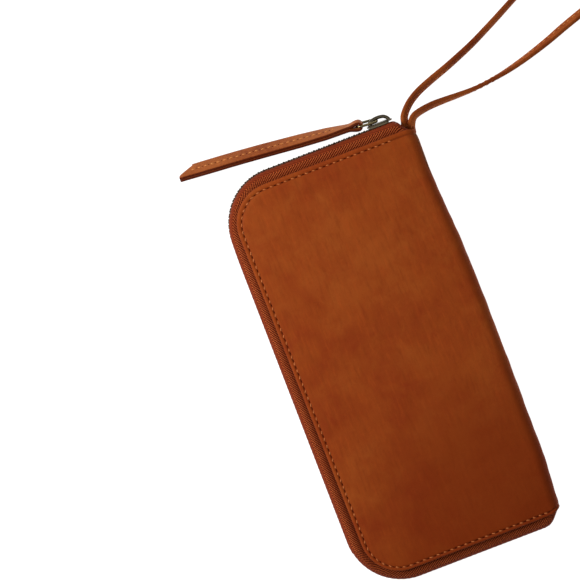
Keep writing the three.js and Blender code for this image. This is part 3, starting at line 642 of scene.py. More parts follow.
# inner skin: the leather's thickness, turned in at the edge
inner = surf(Sg, Yg, 0.0)
x_, z_, nx_, nz_ = profile(Sg)
thick = np.where(Eg < 0.9, 0.55 + 0.85 * np.sqrt(np.clip(Eg / 0.9, 0, 1)), 1.4)
inner = outer - np.stack([nx_ * thick, 0 * thick, nz_ * thick], -1)
ns, nv = Sg.shape
V = np.vstack([outer.reshape(-1, 3), inner.reshape(-1, 3)])
F = []
N0 = ns * nv
for i in range(ns - 1):
    for j in range(nv - 1):
        a, b, c, d = i * nv + j, (i + 1) * nv + j, (i + 1) * nv + j + 1, i * nv + j + 1
        F.append((a, b, c, d)); F.append((N0 + a, N0 + d, N0 + c, N0 + b))
rim = [(i, 0) for i in range(ns)] + [(ns - 1, j) for j in range(1, nv)] + [(i, nv - 1) for i in range(ns - 2, -1, -1)] + [(0, j) for j in range(nv - 2, 0, -1)]
for k in range(len(rim)):
    a = rim[k][0] * nv + rim[k][1]; b = rim[(k + 1) % len(rim)]; b = b[0] * nv + b[1]
    F.append((a, N0 + a, N0 + b, b))
# darker colour right at the leather's cut edge is its own edge colour; the darkening along the stitch groove is painted
# shade, and the band on the spine's rounded corners is painted shade too
edge_tone_and_painted_shade = np.clip(1 - Eg / 0.35, 0, 1) * 0.5 + 0.5 * np.exp(-((Eg - seam_at(Yg)) / 0.36) ** 2)
sp = np.abs(Sg - S_TOT / 2)
edge_tone_and_painted_shade = edge_tone_and_painted_shade * smooth01((sp - 10) / 6) + 0.22 * np.exp(-((sp - 12.2) / 2.4) ** 2)
edge_tone_and_painted_shade = np.clip(edge_tone_and_painted_shade, 0, 1)
cover = mesh_obj("outer_leather", V, F, M_COVER, attrs={"edge": np.r_[edge_tone_and_painted_shade.ravel(), np.full(N0, 0.3)]})
outward(cover)
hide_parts("cover_back", "cover_front")
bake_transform(cover)


# stitching along the turned edge; each stitch lies a little across the seam
SLANT = -1.0


def stitch_line(front):
    pts = []
    s_end, s_far = 78.6, 86.4
    i1, i2 = float(seam_at(90.0)), float(seam_at(-90.0))
    for s in np.arange(s_end, RC, -0.5): pts.append((s, ylim(np.array(s)) - i1))
    for a in np.linspace(90, 180, 60):
        yy = HY - RC + RC * math.sin(math.radians(a)); i = float(seam_at(yy)); pts.append((RC + (RC - i) * math.cos(math.radians(a)), HY - RC + (RC - i) * math.sin(math.radians(a))))
    for yy in np.arange(HY - RC - 0.3, -(HY - RC), -0.5): pts.append((float(seam_at(yy)), yy))
    for a in np.linspace(180, 270, 60):
        yy = -(HY - RC) + RC * math.sin(math.radians(a)); i = float(seam_at(yy)); pts.append((RC + (RC - i) * math.cos(math.radians(a)), -(HY - RC) + (RC - i) * math.sin(math.radians(a))))
    for s in np.arange(RC + 0.3, s_far, 0.5): pts.append((s, -(ylim(np.array(s)) - i2)))
    P = np.array([(float(a), float(b)) for a, b in pts])
    if not front:
        P[:, 0] = S_TOT - P[:, 0]
    return P


for nm, front in (("front", True), ("back", False)):
    P = stitch_line(front)
    d = np.r_[0, np.cumsum(np.linalg.norm(np.diff(P, axis=0), axis=1))]
    bag = Bag()
    pitch = 3.3
    for k, c in enumerate(np.arange(1.6, d[-1] - 1.6, pitch)):
        jit = rng.normal(0, 0.05, 3)
        q = [np.array([np.interp(c + t, d, P[:, 0]), np.interp(c + t, d, P[:, 1])]) for t in (-0.5, 0, 0.5, pitch / 2)]
        tn = (q[2] - q[0]) / np.linalg.norm(q[2] - q[0]); ln = np.array([-tn[1], tn[0]])
        q[2] = q[2] + ln * 0.16 * SLANT; q[0] = q[0] - ln * 0.16 * SLANT
        p3 = [surf(a[0], a[1]) for a in q]
        up3 = surf(q[1][0], q[1][1], 1.0) - p3[1]
        up3 = up3 if np.linalg.norm(up3) > 1e-6 else np.array([0, 0, 1.0])
        dr = p3[2] - p3[0] + np.array([0, 0, jit[0] * 0.3]); dr[:2] += jit[1:] * 0.6
        v, f = capsule(p3[1] + up3 * 0.15, dr, up3, 1.6 + jit[2], 0.29, 0.27, 8, 8)
        bag.add(v, f, 0)
        # the dark mark between stitches is painted shade for the stitch hole
        v, f = capsule(p3[3] + up3 * 0.06, dr, up3, 1.5, 0.34, 0.07, 8, 5)
        bag.add(v, f, 1)
    st = bag.obj("edge_stitching_" + nm, [M_THREAD, M_HOLE_SHADE])
    st.data.transform(Matrix.Identity(4))
    if not front:
        zz = np.empty(len(st.data.vertices) * 3); st.data.vertices.foreach_get("co", zz); zz = zz.reshape(-1, 3); zz[:, 2] = np.maximum(zz[:, 2], 0.00001); st.data.vertices.foreach_set("co", zz.ravel())
    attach(st, nm)

# ------------------------------------------------------------------ the zip
CCX, CCY, CR, CX, CYY = -22.8, 72.0, 24.3, -47.1, 96.3
X_START, X_END = 33.4, 36.0


def chain(s):
    """chain line by length from the slider's end: point, outward normal"""
    L1 = X_START - CCX; LA = CR * math.pi / 2; L2 = 2 * CCY; L3 = X_END - CCX
    if s <= L1: return np.array([X_START - s, CYY]), np.array([0.0, 1.0])
    s -= L1
    if s <= LA:
        a = math.pi / 2 + s / CR; n = np.array([math.cos(a), math.sin(a)]); return np.array([CCX, CCY]) + CR * n, n
    s -= LA
    if s <= L2: return np.array([CX, CCY - s]), np.array([-1.0, 0.0])
    s -= L2
    if s <= LA:
        a = math.pi + s / CR; n = np.array([math.cos(a), math.sin(a)]); return np.array([CCX, -CCY]) + CR * n, n
    s -= LA
    return np.array([CCX + s, -CYY]), np.array([0.0, -1.0])


CH_TOT = (X_START - CCX) + CR * math.pi + 2 * CCY + (X_END - CCX)


def tape(front):
    st = []
    ccx, ccy = LX + RC, HY - RC
    l1, la, l2 = CCX - ccx, RC * math.pi / 2, ccy - CCY
    tot = l1 + la + l2

    def inner_pt(t):
        s = t * tot
        if s < l1: return (CCX - s, HY), (0, 1)
        s -= l1
        if s < la:
            a = math.pi / 2 + s / RC; return (ccx + RC * math.cos(a), ccy + RC * math.sin(a)), (math.cos(a), math.sin(a))
        s -= la
        return (LX, ccy - s), (-1, 0)
    top = []
    # the ends dive into the spine's corners, steeply beside the slider
    end_t = [((x, yi), n, (x, yo), n) for x, yi, yo, n in ((43.8, 90.2, 90.5, (0.6, 0.8)), (43.0, 90.4, 91.0, (0.6, 0.8)), (42.2, 90.7, 91.7, (0.6, 0.8)), (41.4, 91.0, 92.6, (0.6, 0.8)), (40.6, 91.4, 93.7, (0.55, 0.835)), (39.8, 91.7, 94.8, (0.45, 0.893)), (39.0, 91.9, 95.6, (0.3, 0.954)), (38.2, 92.0, 96.1, (0.12, 0.993)))]
    end_b = [((x, yi), n, (x, yo), n) for x, yi, yo, n in ((44.6, 89.4, 91.0, (0.5, 0.87)), (43.6, 90.1, 92.2, (0.5, 0.87)), (42.6, 90.8, 93.4, (0.5, 0.87)), (41.6, 91.3, 94.6, (0.42, 0.91)), (40.6, 91.7, 95.5, (0.34, 0.94)), (39.5, 91.9, 96.0, (0.2, 0.98)), (38.2, 92.0, 96.25, (0.06, 0.998)))]
    for x in np.linspace(36.8, CCX, 200): top.append(((x, HY), (0, 1), (x, CYY), (0, 1)))
    for k in range(1, 110):
        t = k / 110; a = math.pi / 2 + t * math.pi / 2
        p, n = inner_pt(t)
        top.append((p, n, (CCX + CR * math.cos(a), CCY + CR * math.sin(a)), (math.cos(a), math.sin(a))))
    for yv in np.linspace(CCY, 0, 230): top.append(((LX, yv), (-1, 0), (CX, yv), (-1, 0)))
    mir = [tuple((p[0], -p[1]) for p in q) for q in end_b + top[:-1]][::-1]
    allst = end_t + top + mir
    K = 22
    zf, z1, z2 = 1.9, 7.4, 10.1
    ringsv, uvs, edges = [], [], []
    run = 0.0; prev = None
    for k, (pi, ni, po, no) in enumerate(allst):
        pi, ni, po, no = map(np.array, (pi, ni, po, no))
        if prev is not None: run += np.linalg.norm(po - prev)
        prev = po
        # how far the wall swells past the row of teeth: least on the short side that carries the slider
        bulge = 0.22 + 0.74 * smooth01(np.array((90 - po[1]) / 30)) if no[1] > -0.2 else 0.80
        bulge = float(bulge) * float(smooth01(np.array((42.5 - po[0]) / 6)))
        pucker = 0.10 * math.sin(run * 0.83 + 1) + 0.07 * math.sin(run * 0.37 + 2.4)
        scal = 0.085 * (abs(math.sin(math.pi * run / 2.4)) - 0.6)
        c = [np.r_[pi - ni * 4.0, zf], np.r_[pi - ni * 1.2, zf], np.r_[pi - ni * 0.25, zf + 0.02]]
        for q in range(1, K + 1):
            a = q / K * math.pi / 2
            f = math.sin(a) ** 0.95
            sw = math.sin(math.pi * (q / K) * 0.62) / math.sin(math.pi * 0.62) if q < K else 1.0
            p2 = pi + (po - pi) * f + no * (bulge * (q / K) ** 2.2 + (0.14 + 0.4 * pucker) * math.sin(math.pi * q / K) + scal * (q / K) ** 3)
            c.append(np.r_[p2, zf + (z1 - zf) * (1 - math.cos(a)) ** 0.95])
        for t, bz in ((0.25, 1.02), (0.5, 0.86), (0.75, 0.45), (0.92, 0.12), (1.0, 0.0)):
            c.append(np.r_[po + no * (bulge * bz + scal * bz), z1 + (z2 - z1) * t])
        c = np.array(c)
        n2 = np.r_[no, 0]
        al = c[:, :2] @ no
        g = np.gradient(np.stack([al, c[:, 2]], 1), axis=0); g /= np.linalg.norm(g, axis=1)[:, None] + 1e-9
        nrm = n2[None] * g[:, 1:2] + np.array([0, 0, -1.0])[None] * g[:, 0:1]
        nrm[:2] = (0, 0, -1)
        h = 0.27
        outp, inp = c + nrm * h, c - nrm * h
        ringsv.append(np.vstack([outp, inp[::-1]]))
        dv = np.r_[0, np.cumsum(np.linalg.norm(np.diff(c, axis=0) * (1, 1, 0.45), axis=1))]
        dv = dv[-1] - dv                       # distance from the chain edge
        uvs.append(np.stack([np.full(2 * len(c), run), np.r_[dv, dv[::-1]]], 1))
        rise = np.r_[0, np.cumsum(np.linalg.norm(np.diff(c[2:], axis=0), axis=1))]; rise = np.r_[0, 0, rise]
        # painted shade on the tape just below the leather's edge, fading over about 4 mm, weaker on the +Y and -Y sides
        # than on the -X side
        tuck_painted_shade = (0.70 - 0.27 * max(0.0, no[1]) - 0.22 * max(0.0, -no[1])) * np.clip(1 - rise / 4.2, 0, 1) ** 1.1
        edges.append(np.r_[tuck_painted_shade, tuck_painted_shade[::-1]])
    R = np.array(ringsv)
    if front:
        R[..., 2] = T - R[..., 2]
    V, F = loft(R)
    o = mesh_obj("zip_tape_woven_" + ("front" if front else "back"), V, F, M_TAPE, uv=np.vstack(uvs), attrs={"edge": np.concatenate(edges)})
    outward(o)
    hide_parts("zip_tape_front" if front else "zip_tape_back"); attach(o, "front" if front else "back")


tape(True); tape(False)


def teeth(front):
    bag = Bag(); sg = 1 if front else -1
    s = 0.0 if front else 1.2
    rows = []
    while s + 0.9 < CH_TOT:
        p, n = chain(s + 0.45); t = np.array([-n[1], n[0]])
        ax = np.array([[t[0], t[1], 0], [n[0], n[1], 0], [0, 0, sg]])
        c = np.r_[p, MID]
        # head, waist and the legs that clamp the tape
        for (z0, z1, ht, hn, r) in ((-0.68, 0.75, 0.46, 0.92, 0.22), (0.55, 2.35, 0.52, 1.04, 0.20)):
            cc = c + ax[2] * (z0 + z1) / 2
            v, f = bevel_box(cc, ax, (ht, hn, (z1 - z0) / 2), r); bag.add(v, f, 0)
        s += 2.4
    o = bag.obj("metal_teeth_" + ("front" if front else "back"), [M_TEETH], smooth=False)
    nm = "front" if front else "back"
    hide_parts("zip_teeth_" + nm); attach(o, nm)


teeth(True); teeth(False)


for nm, z0, z1 in (("front", 13.2, 15.8), ("back", 8.2, 10.8)):
    bag = Bag()
    v, f = bevel_box(np.array([38.85, 95.5, (z0 + z1) / 2]), np.eye(3), (0.45, 0.6, (z1 - z0) / 2), 0.22); bag.add(v, f, 0)
    o = bag.obj("crimped_stop_" + nm, [M_TEETH], smooth=False)
    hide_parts("zip_top_stop_" + nm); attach(o, nm)


def prism_mm(pts, z0, z1):
    n = len(pts)
    V = [(p[0], p[1], z0) for p in pts] + [(p[0], p[1], z1) for p in pts]
    F = [tuple(range(n))[::-1], tuple(range(n, 2 * n))] + [(i, (i + 1) % n, n + (i + 1) % n, n + i) for i in range(n)]
    return np.array(V, float), F


def bevelled(o, width, segs=2, angle=35):
    m = o.modifiers.new("bevel", "BEVEL"); m.width = width * MM; m.segments = segs; m.limit_method = "ANGLE"; m.angle_limit = math.radians(angle)
    m.harden_normals = False
    return o


# ---- main slider
SX = 32.1
PLATE = 98.4
bag = Bag()


def slider_outline(half_l, half_w, k=1.0):
    pts = [(-half_l, -half_w * .62), (-half_l * .93, -half_w * .8), (-half_l * .4, -half_w * .9), (half_l * .25, -half_w), (half_l * .62, -half_w), (half_l * .9, -half_w * .72), (half_l, -half_w * .42),
           (half_l * .97, -half_w * .2)]
    pts += [(a, -b) for a, b in pts[::-1]]
    return pts


def place(V, f):
    return np.array([f(*p) for p in V])


ol = slider_outline(5.9, 4.45)
V, F = prism_mm(ol, 0, 0.62)
bag.add(place(V, lambda s, b, n: (SX + s, 97.78 + n, MID + b)), F)
bag.add(place(V, lambda s, b, n: (SX + s, 94.82 - n, MID + b)), F)
V, F = prism_mm(slider_outline(5.3, 3.5), 0, 0.22)
bag.add(place(V, lambda s, b, n: (SX + s, 98.38 + n, MID + b)), F)
for sg in (1, -1):
    for n0, n1 in ((96.9, 97.9), (94.7, 95.7)):
        V, F = prism_mm([(-5.0, sg * 2.45), (3.6, sg * 2.45), (4.2, sg * 3.4), (3.4, sg * 4.35), (-5.0, sg * 3.75)], n0, n1)
        bag.add(place(V, lambda s, b, n: (SX + s, n, MID + b)), F)
slider = bag.obj("slider_body", [M_SLIDER]); outward(slider); bevelled(slider, 0.28, 3)
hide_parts("zip_slider"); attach(slider, "slider")

# ---- bail: a strap of metal arched over the outer plate
pts = [(27.95, 98.4), (27.9, 98.95), (28.2, 99.55), (29.0, 100.15), (30.4, 100.6), (32.0, 100.78), (33.6, 100.7), (34.9, 100.35), (35.85, 99.7), (36.45, 98.95), (36.75, 98.3)]
bp, _ = spline([(a, b, MID) for a, b in pts], 44)
tb = np.gradient(bp, axis=0); tb /= np.linalg.norm(tb, axis=1)[:, None]
nb = np.stack([-tb[:, 1], tb[:, 0], np.zeros(len(tb))], 1)
rings = []
for i, (p, n) in enumerate(zip(bp, nb)):
    f = i / (len(bp) - 1)
    w = 1.30 - 0.20 * math.sin(math.pi * f)
    th = 0.80 + 0.22 * (1 - f) ** 3
    r = []
    for k in range(14):
        a = 2 * math.pi * k / 14
        ca, sa = math.cos(a), math.sin(a)
        r.append(p + n * th * np.sign(ca) * abs(ca) ** 0.6 + np.array([0, 0, 1]) * w * np.sign(sa) * abs(sa) ** 0.6)
    rings.append(r)
V, F = loft(rings)
bail = mesh_obj("slider_bail", V, F, M_SLIDER); outward(bail)
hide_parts("zip_slider_bail"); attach(bail, "slider")

# ---- oval wire link
Sv = np.array([0, -0.22, 0.9755]); Sv /= np.linalg.norm(Sv)
Lv = np.array([-0.985, 0.085, 0.05]); Lv -= Sv * (Lv @ Sv); Lv /= np.linalg.norm(Lv)
P0 = np.array([31.4, PLATE + 1.4, MID]); LL, LR, LC = 9.3, 2.7, 2.1
Nv = np.cross(Lv, Sv)
lp = []
for lc, sc, a0 in ((LC, LR - LC, 90), (LC, -LR + LC, 180), (LL - LC, -LR + LC, 270), (LL - LC, LR - LC, 0)):
    for a in np.linspace(a0, a0 + 90, 11): lp.append((lc + LC * math.cos(math.radians(a)), sc + LC * math.sin(math.radians(a)), math.cos(math.radians(a)), math.sin(math.radians(a))))
rings = []
for l, s_, cl, cs in lp:
    c = P0 + Lv * l + Sv * s_; e = Lv * cl + Sv * cs
    rings.append([c + e * 0.6 * math.cos(a) + Nv * 0.6 * math.sin(a) for a in np.linspace(0, 2 * math.pi, 13)[:-1]])
V, F = loft(rings, cap=False, closed_path=True)
link = mesh_obj("wire_link", V, F, M_LINK); outward(link)
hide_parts("pull_link"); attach(link, "link")

# ---- folded leather pull: one strip doubled over the link's far wire
H = P0 + Lv * LL
TIP = H + np.array([-81.7, 8.25, -6.9]) / np.linalg.norm([-81.7, 8.25, -6.9]) * 82.1
D = (TIP - H) / np.linalg.norm(TIP - H)


def roll_dir(l):
    """width direction of the pull at length l: steep at the fold, easing to the tail"""
    a = math.radians(np.interp(l, [-4, 0, 4, 8, 14, 26, 45, 64, 84], [80, 80, 79, 75, 68, 61, 58, 57, 56]))
    w = np.array([0, -math.cos(a), math.sin(a)])
    if l < 4:
        k = smooth01(np.array((4 - l) / 6.0)); w = w * (1 - k) + Sv * k
    w = w - D * (w @ D)
    return w / np.linalg.norm(w)


def centre(l):
    p = H + D * l
    sag = -0.9 * math.sin(math.pi * min(max(l, 0), 87) / 87)
    w = roll_dir(l)
    zmin = 0.12 + 3.95 * abs(w[2]) + 1.35 * math.sqrt(max(0, 1 - w[2] ** 2))
    p = p + np.array([0, -1.0 * max(0.0, (l - 38) / 44) ** 2, sag])
    p[2] = max(p[2], zmin)
    return p


TH = 1.28                                      # one layer
# centre line of the strip: lower layer out to the fold, round the wire, back along the upper layer
EYE_R, EYE_L, SIDE = 1.52, -0.75, 75.6


def layer_off(l):
    """half the distance between the two layers: open at the eye, closed from 6 mm on"""
    k = min(1.0, max(0.0, (l - EYE_L) / 4.6))
    return 0.66 + (EYE_R - 0.66) * 0.5 * (1 + math.cos(math.pi * k))


strip = []
for l in np.r_[np.linspace(SIDE, 8.0, 76), np.linspace(7.4, EYE_L, 18)]: strip.append((l, -layer_off(l)))
for a in np.linspace(-90, 90, 19)[1:-1]:
    strip.append((EYE_L - EYE_R * math.cos(math.radians(a)), EYE_R * math.sin(math.radians(a))))
for l in np.r_[np.linspace(EYE_L, 7.4, 18), np.linspace(8.0, SIDE, 76)]: strip.append((l, layer_off(l)))
strip = np.array(strip)
ds = np.gradient(strip, axis=0); ds /= np.linalg.norm(ds, axis=1)[:, None]


def width_at(l):
    return float(np.interp(l, [-3, 0, 3, 6, 9, 14, 90], [2.6, 2.7, 2.9, 3.25, 3.65, 3.95, 4.0]))


rings, uvr, eat = [], [], []
for (l, o_), (dl, do) in zip(strip, ds):
    w = roll_dir(l); n = np.cross(w, D); n /= np.linalg.norm(n)
    if n[2] < 0 and abs(n[2]) > 0.05: n = -n
    hw = width_at(l)
    cpt = centre(l) + n * o_
    nn = n * dl - D * do if True else n
    nn = nn / np.linalg.norm(nn)
    sec = strip_section(2 * hw, TH, 0.28)
    # slanted end cut with a slight S
    r = []
    for a, b, e in sec:
        k = (a / hw)
        slant = 0.0
        if l > 66:
            f = (l - 66) / (SIDE - 66)
            slant = f * (3.25 * (k + 1) - 1.05 * math.sin((k + 1) * math.pi))
        r.append(cpt + w * a + nn * b + D * slant)
    rings.append(r); eat.append(sec[:, 2])
V, F = loft(rings)
pull = mesh_obj("leather_pull", V, F, M_STRAP, attrs={"edge": np.concatenate(eat) * 0.95})
outward(pull)
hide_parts("pull_strap"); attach(pull, "pull")
bag = Bag()
for sg in (1, -1):
    for l in np.arange(10.5, SIDE + 1.5, 2.95):
        w = roll_dir(l); n = np.cross(w, D); n /= np.linalg.norm(n)
        if n[2] < 0: n = -n
        c = centre(l) + n * sg * (layer_off(l) + TH / 2 + 0.13) + w * 0.45
        v, f = capsule(c, D + w * 0.08, n * sg, 1.8, 0.34, 0.26, 7, 6); bag.add(v, f, 0)
        # the dark mark between stitches is painted shade for the stitch hole
        c = centre(l + 1.47) + n * sg * (layer_off(l) + TH / 2 + 0.09) + w * 0.45
        v, f = capsule(c, D, n * sg, 0.9, 0.30, 0.06, 7, 4); bag.add(v, f, 1)
ps = bag.obj("pull_stitches", [M_THREAD2, M_HOLE_SHADE]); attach(ps, "pull")

# ------------------------------------------------------------------ inside: linings, card panels and slots, gussets, coin pocket
def round_outline(x0, x1, hy, rl, rr, step=4.0):
    P = []
    for cx, cy, r, a0 in ((x1 - rr, hy - rr, rr, 0), (x0 + rl, hy - rl, rl, 90), (x0 + rl, -hy + rl, rl, 180), (x1 - rr, -hy + rr, rr, 270)):
        for a in np.linspace(a0, a0 + 90, 7): P.append((cx + r * math.cos(math.radians(a)), cy + r * math.sin(math.radians(a))))
    out = []
    for i, p in enumerate(P):
        q = P[(i + 1) % len(P)]; d = math.hypot(q[0] - p[0], q[1] - p[1]); n = max(1, int(d / step))
        out += [(p[0] + (q[0] - p[0]) * k / n, p[1] + (q[1] - p[1]) * k / n) for k in range(n)]
    return np.array(out)


def drape(x, y):
    """how the thin sheets inside lie: one gentle unevenness shared by all of them"""
    return 0.16 * wav(x * 0.45, y * 0.45, 21)


def sheet(name, node, body, front, x0, x1, hy, rl, rr, z0, z1, mat):
    P = round_outline(x0, x1, hy, rl, rr); c = np.array([(x0 + x1) / 2, 0.0]); zm, h = (z0 + z1) / 2, (z1 - z0) / 2
    rows = [(0.02, -1), (0.2, -1), (0.4, -1), (0.6, -1), (0.78, -1), (0.9, -1), (0.965, -1), (0.992, -0.95), (0.9985, -0.6), (1.0, 0), (0.9985, 0.6), (0.992, 0.95), (0.965, 1), (0.9, 1), (0.78, 1), (0.6, 1), (0.4, 1), (0.2, 1), (0.02, 1)]
    rings = []
    for f, k in rows:
        q = c + (P - c) * f
        z = zm + h * k + drape(q[:, 0], q[:, 1])
        rings.append(np.column_stack([q, T - z if front else z]))
    V, F = loft(rings)
    o = mesh_obj(name, V, F, mat); outward(o)
    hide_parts(node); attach(o, body)
    return o


def seam_run(bag, a, b, z, front, pitch=3.0, up=1):
    a, b = np.array(a, float), np.array(b, float); L = np.linalg.norm(b - a); d = (b - a) / L
    for k in np.arange(pitch / 2, L, pitch):
        q = a + d * k; zz = z + drape(q[0], q[1]) + 0.04 * up
        if front: zz = T - zz
        u = np.array([0, 0, (-1.0 if front else 1.0) * up])
        v, f = capsule(np.array([q[0], q[1], zz]), np.array([d[0], d[1], 0]), u, 2.1, 0.2, 0.13, 6, 5); bag.add(v, f, 0)


for nm, front in (("back", False), ("front", True)):
    sheet("lining_cloth_" + nm, "lining_" + nm, nm, front, -42.4, 45.4, 91.0, 16, 4, 2.45, 2.75, M_LINING)
    sheet("panel_leather_" + nm, "card_panel_" + nm, nm, front, -37.5, 42.0, 85.0, 7, 2, 3.05, 3.4, M_INNER)
    bag = Bag()
    seam_run(bag, (-35.6, -80), (-35.6, 80), 3.4, front)
    for i, (x, z) in enumerate(((-24, 3.7), (-12, 4.3), (0, 4.9))):
        sheet("slot_leather_%s_%d" % (nm, i + 1), "card_slot_%s_%d" % (nm, i + 1), nm, front, x, 41.5, 84.0, 1.2, 2, z, z + 0.3, M_INNER)
        xe = x + 11.4 if i < 2 else 39.6
        for yy in (-82.2, 0.0, 82.2): seam_run(bag, (x + 0.8, yy), (xe, yy), z + 0.3, front)
        seam_run(bag, (x + 1.6, -81.4), (x + 1.6, -1.0), z + 0.3, front); seam_run(bag, (x + 1.6, 1.0), (x + 1.6, 81.4), z + 0.3, front)
    o = bag.obj("card_slot_stitches_" + nm, [M_THREAD2]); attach(o, nm)

# folded gussets
GUSSET_BODY = {"back": "back", "front": "divider"}
M_COIL = thread("moulded_coil", srgb(104, 64, 42), srgb(74, 44, 28))
for sg, end in ((1, "slider_end"), (-1, "far_end")):
    for nm, front in (("back", False), ("front", True)):
        C = np.array([(83, 5.74), (79.5, 5.86), (75, 6.14), (70, 6.55), (66, 6.92), (63.6, 7.14), (62.7, 7.24), (62.35, 7.4), (62.7, 7.56), (63.6, 7.66), (66, 7.88), (70, 8.25), (75, 8.66), (79.5, 8.94), (83, 9.06)])
        g = np.gradient(C, axis=0); g /= np.linalg.norm(g, axis=1)[:, None]; N2 = np.stack([-g[:, 1], g[:, 0]], 1)
        rings = []
        for x in np.linspace(-34, 41, 30):
            w = 0.05 * math.sin(x * 0.31 + sg) * np.clip((C[:, 0] - 62) / 10, 0, 1)
            k = C + np.stack([0.25 * math.sin(x * 0.17 + 2 * sg) * np.clip((80 - C[:, 0]) / 12, 0, 1), w], 1)
            sec2 = np.vstack([k + N2 * 0.14, (k - N2 * 0.14)[::-1]])
            rings.append(np.column_stack([np.full(len(sec2), x), sec2[:, 0] * sg, T - sec2[:, 1] if front else sec2[:, 1]]))
        V, F = loft(rings)
        o = mesh_obj("gusset_leather_%s_%s" % (nm, end), V, F, M_INNER); outward(o)
        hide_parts("gusset_%s_%s" % (nm, end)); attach(o, GUSSET_BODY[nm])

# coin pocket: a flat stitched pouch, its mouth away from the spine
def pouch_ring(x, zh, yh, n=12):
    r = min(zh * 0.98, 1.6); P = []
    for cy, cz, a0 in ((yh - r, zh - r, 0), (-yh + r, zh - r, 90), (-yh + r, -zh + r, 180), (yh - r, -zh + r, 270)):
        for a in np.linspace(a0, a0 + 90, n // 2): P.append((cy + r * math.cos(math.radians(a)), cz + r * math.sin(math.radians(a))))
    out = []
    for i, p in enumerate(P):
        q = P[(i + 1) % len(P)]; m = 24 if abs(q[0] - p[0]) > 20 else 1
        out += [(p[0] + (q[0] - p[0]) * k / m, p[1] + (q[1] - p[1]) * k / m) for k in range(m)]
    return np.array([(x, a, MID + b + 0.05 * math.sin(a * 0.11 + x * 0.2)) for a, b in out])


rings = [pouch_ring(x, zh, yh) for x, zh, yh in ((40.0, 0.5, 77.0), (39.7, 1.1, 77.5), (38.6, 1.75, 77.9), (36, 2.2, 78), (30, 2.36, 78), (20, 2.38, 78), (10, 2.38, 78), (0, 2.38, 78), (-10, 2.38, 78), (-20, 2.38, 78), (-28, 2.36, 78), (-29.7, 2.34, 77.9), (-30, 2.2, 77.8), (-29.8, 2.02, 77.6), (-28, 1.98, 77.6), (-20, 1.98, 77.6), (0, 1.98, 77.6), (20, 1.98, 77.6), (30, 1.94, 77.6), (36, 1.75, 77.5), (38.2, 1.2, 77.2), (39.2, 0.5, 76.8))]
V, F = loft(rings)
o = mesh_obj("coin_pouch", V, F, M_INNER); outward(o)
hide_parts("coin_pocket"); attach(o, "divider")
bag = Bag()
for sz in (1, -1):
    for a, b in (((-28.4, -75.8), (35.5, -75.8)), ((-28.4, 75.8), (35.5, 75.8)), ((-28.4, -75.0), (-28.4, 75.0))):
        a, b = np.array(a), np.array(b); L = np.linalg.norm(b - a); d = (b - a) / L
        for k in np.arange(1.5, L, 3.0):
            q = a + d * k
            v, f = capsule(np.array([q[0], q[1], MID + 0.05 * math.sin(q[1] * 0.11 + q[0] * 0.2) + sz * 2.41]), np.array([d[0], d[1], 0]), np.array([0, 0, float(sz)]), 2.1, 0.2, 0.12, 6, 5); bag.add(v, f, 0)
o = bag.obj("coin_pouch_stitches", [M_THREAD2]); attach(o, "divider")

# coin zip: two woven strips, a moulded coil and its slider
CZX = -30.7
for nm, za, zb in (("back", 9.6, 11.1), ("front", 12.9, 14.4)):
    rings = []
    for yv in np.linspace(-76, 76, 60):
        dx = 0.06 * math.sin(yv * 0.4)
        rings.append([(CZX + dx + a, yv, z) for a, z in ((0.17, za), (0.2, za + 0.1), (0.2, (za + zb) / 2), (0.2, zb - 0.1), (0.17, zb), (-0.17, zb), (-0.2, zb - 0.1), (-0.2, (za + zb) / 2), (-0.2, za + 0.1), (-0.17, za))])
    V, F = loft(rings)
    o = mesh_obj("coin_tape_woven_" + nm, V, F, M_LINING); outward(o)
    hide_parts("coin_zip_tape_" + nm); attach(o, "divider")
bag = Bag()
for k, yv in enumerate(np.arange(-72.4, 69.0, 1.3)):
    v, f = capsule(np.array([CZX, yv, MID + (0.12 if k % 2 else -0.12)]), np.array([0, 0, 1.0]), np.array([-1.0, 0, 0]), 1.15, 0.42, 0.45, 6, 7); bag.add(v, f, 0)
    v, f = capsule(np.array([CZX + 0.02, yv, MID + (0.12 if k % 2 else -0.12)]), np.array([0, 0, 1.0]), np.array([1.0, 0, 0]), 1.15, 0.42, 0.4, 6, 5); bag.add(v, f, 0)
coil = bag.obj("coin_coil_turns", [M_COIL]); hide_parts("coin_zip_coil"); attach(coil, "divider")
bag = Bag()
oc = [(-3.5, -1.4), (-3.1, -1.7), (1.6, -1.75), (2.8, -1.4), (3.5, -0.7), (3.5, 0.7), (2.8, 1.4), (1.6, 1.75), (-3.1, 1.7), (-3.5, 1.4)]
for n0, n1 in ((0.87, 1.35), (-1.35, -0.87)):
    V, F = prism_mm(oc, n0, n1); bag.add(place(V, lambda s, b, n: (CZX - n, 68 + s, MID + b)), F)
for sg in (1, -1):
    for n0, n1 in ((0.5, 0.95), (-0.95, -0.5)):
        V, F = prism_mm([(-3.0, sg * 0.98), (2.2, sg * 0.98), (2.2, sg * 1.6), (-3.0, sg * 1.6)], n0, n1); bag.add(place(V, lambda s, b, n: (CZX - n, 68 + s, MID + b)), F)
cs = bag.obj("coin_slider_body", [M_SLIDER]); outward(cs); bevelled(cs, 0.14, 2)
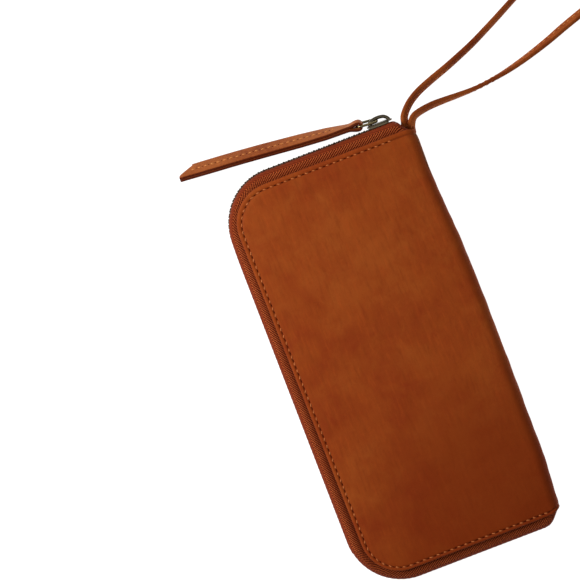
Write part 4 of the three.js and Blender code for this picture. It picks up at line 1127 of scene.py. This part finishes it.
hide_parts("coin_zip_slider"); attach(cs, "coin_slider")
# leather block that holds the strap's ends
v, f = bevel_box(np.array([43.5, 88.4, 12.0]), np.eye(3), (2.3, 3.4, 1.6), 0.5)
o = mesh_obj("strap_root_block", v, f, M_INNER); outward(o)
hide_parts("strap_anchor"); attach(o, "back")

# ------------------------------------------------------------------ carried-over CAD pieces get finished materials
for n, o in NODES.items():
    m = None
    if n.startswith("lining"): m = M_LINING
    elif n.startswith("stiffener"): m = M_BOARD
    elif n.startswith(("card_", "coin_pocket", "gusset", "strap_anchor")): m = M_INNER
    elif n.startswith("coin_zip_tape"): m = M_LINING
    elif "stop" in n: m = M_TEETH
    elif n.startswith("coin_zip"): m = M_SLIDER
    if m:
        o.data.materials.clear(); o.data.materials.append(m)

# ------------------------------------------------------------------ floor and light
fm = Mat("floor_white")
fm.set(Base_Color=(0.25, 0.25, 0.25, 1), Roughness=0.9, Emission_Color=(1, 1, 1, 1), Emission_Strength=1.0)
floor = mesh_obj("floor", [(-3000, -3000, 0), (3000, -3000, 0), (3000, 3000, 0), (-3000, 3000, 0)], [(0, 1, 2, 3)], fm.m)
floor.location.z = -0.00002
world = bpy.data.worlds.new("studio"); bpy.context.scene.world = world
world.use_nodes = True
world.node_tree.nodes["Background"].inputs[0].default_value = (1, 1, 1, 1)
world.node_tree.nodes["Background"].inputs[1].default_value = 0.22


def area(name, loc, size, power, look=(0, 0, 0.01)):
    d = bpy.data.lights.new(name, "AREA"); d.energy = power; d.shape = "DISK"; d.size = size
    o = bpy.data.objects.new(name, d); bpy.context.scene.collection.objects.link(o)
    o.location = loc; o.rotation_euler = (Vector(look) - Vector(loc)).to_track_quat("-Z", "Y").to_euler()
    return o


# image "up-left" is the row's (-0.6, +0.8)
area("key", (-0.38, 0.25, 0.42), 0.22, 2.75)
area("fill", (-0.1, 0.2, 1.4), 0.9, 1.6)
sc = bpy.context.scene
sc.view_settings.view_transform = "Standard"
sc.view_settings.look = "None"
sc.view_settings.exposure = 0.0
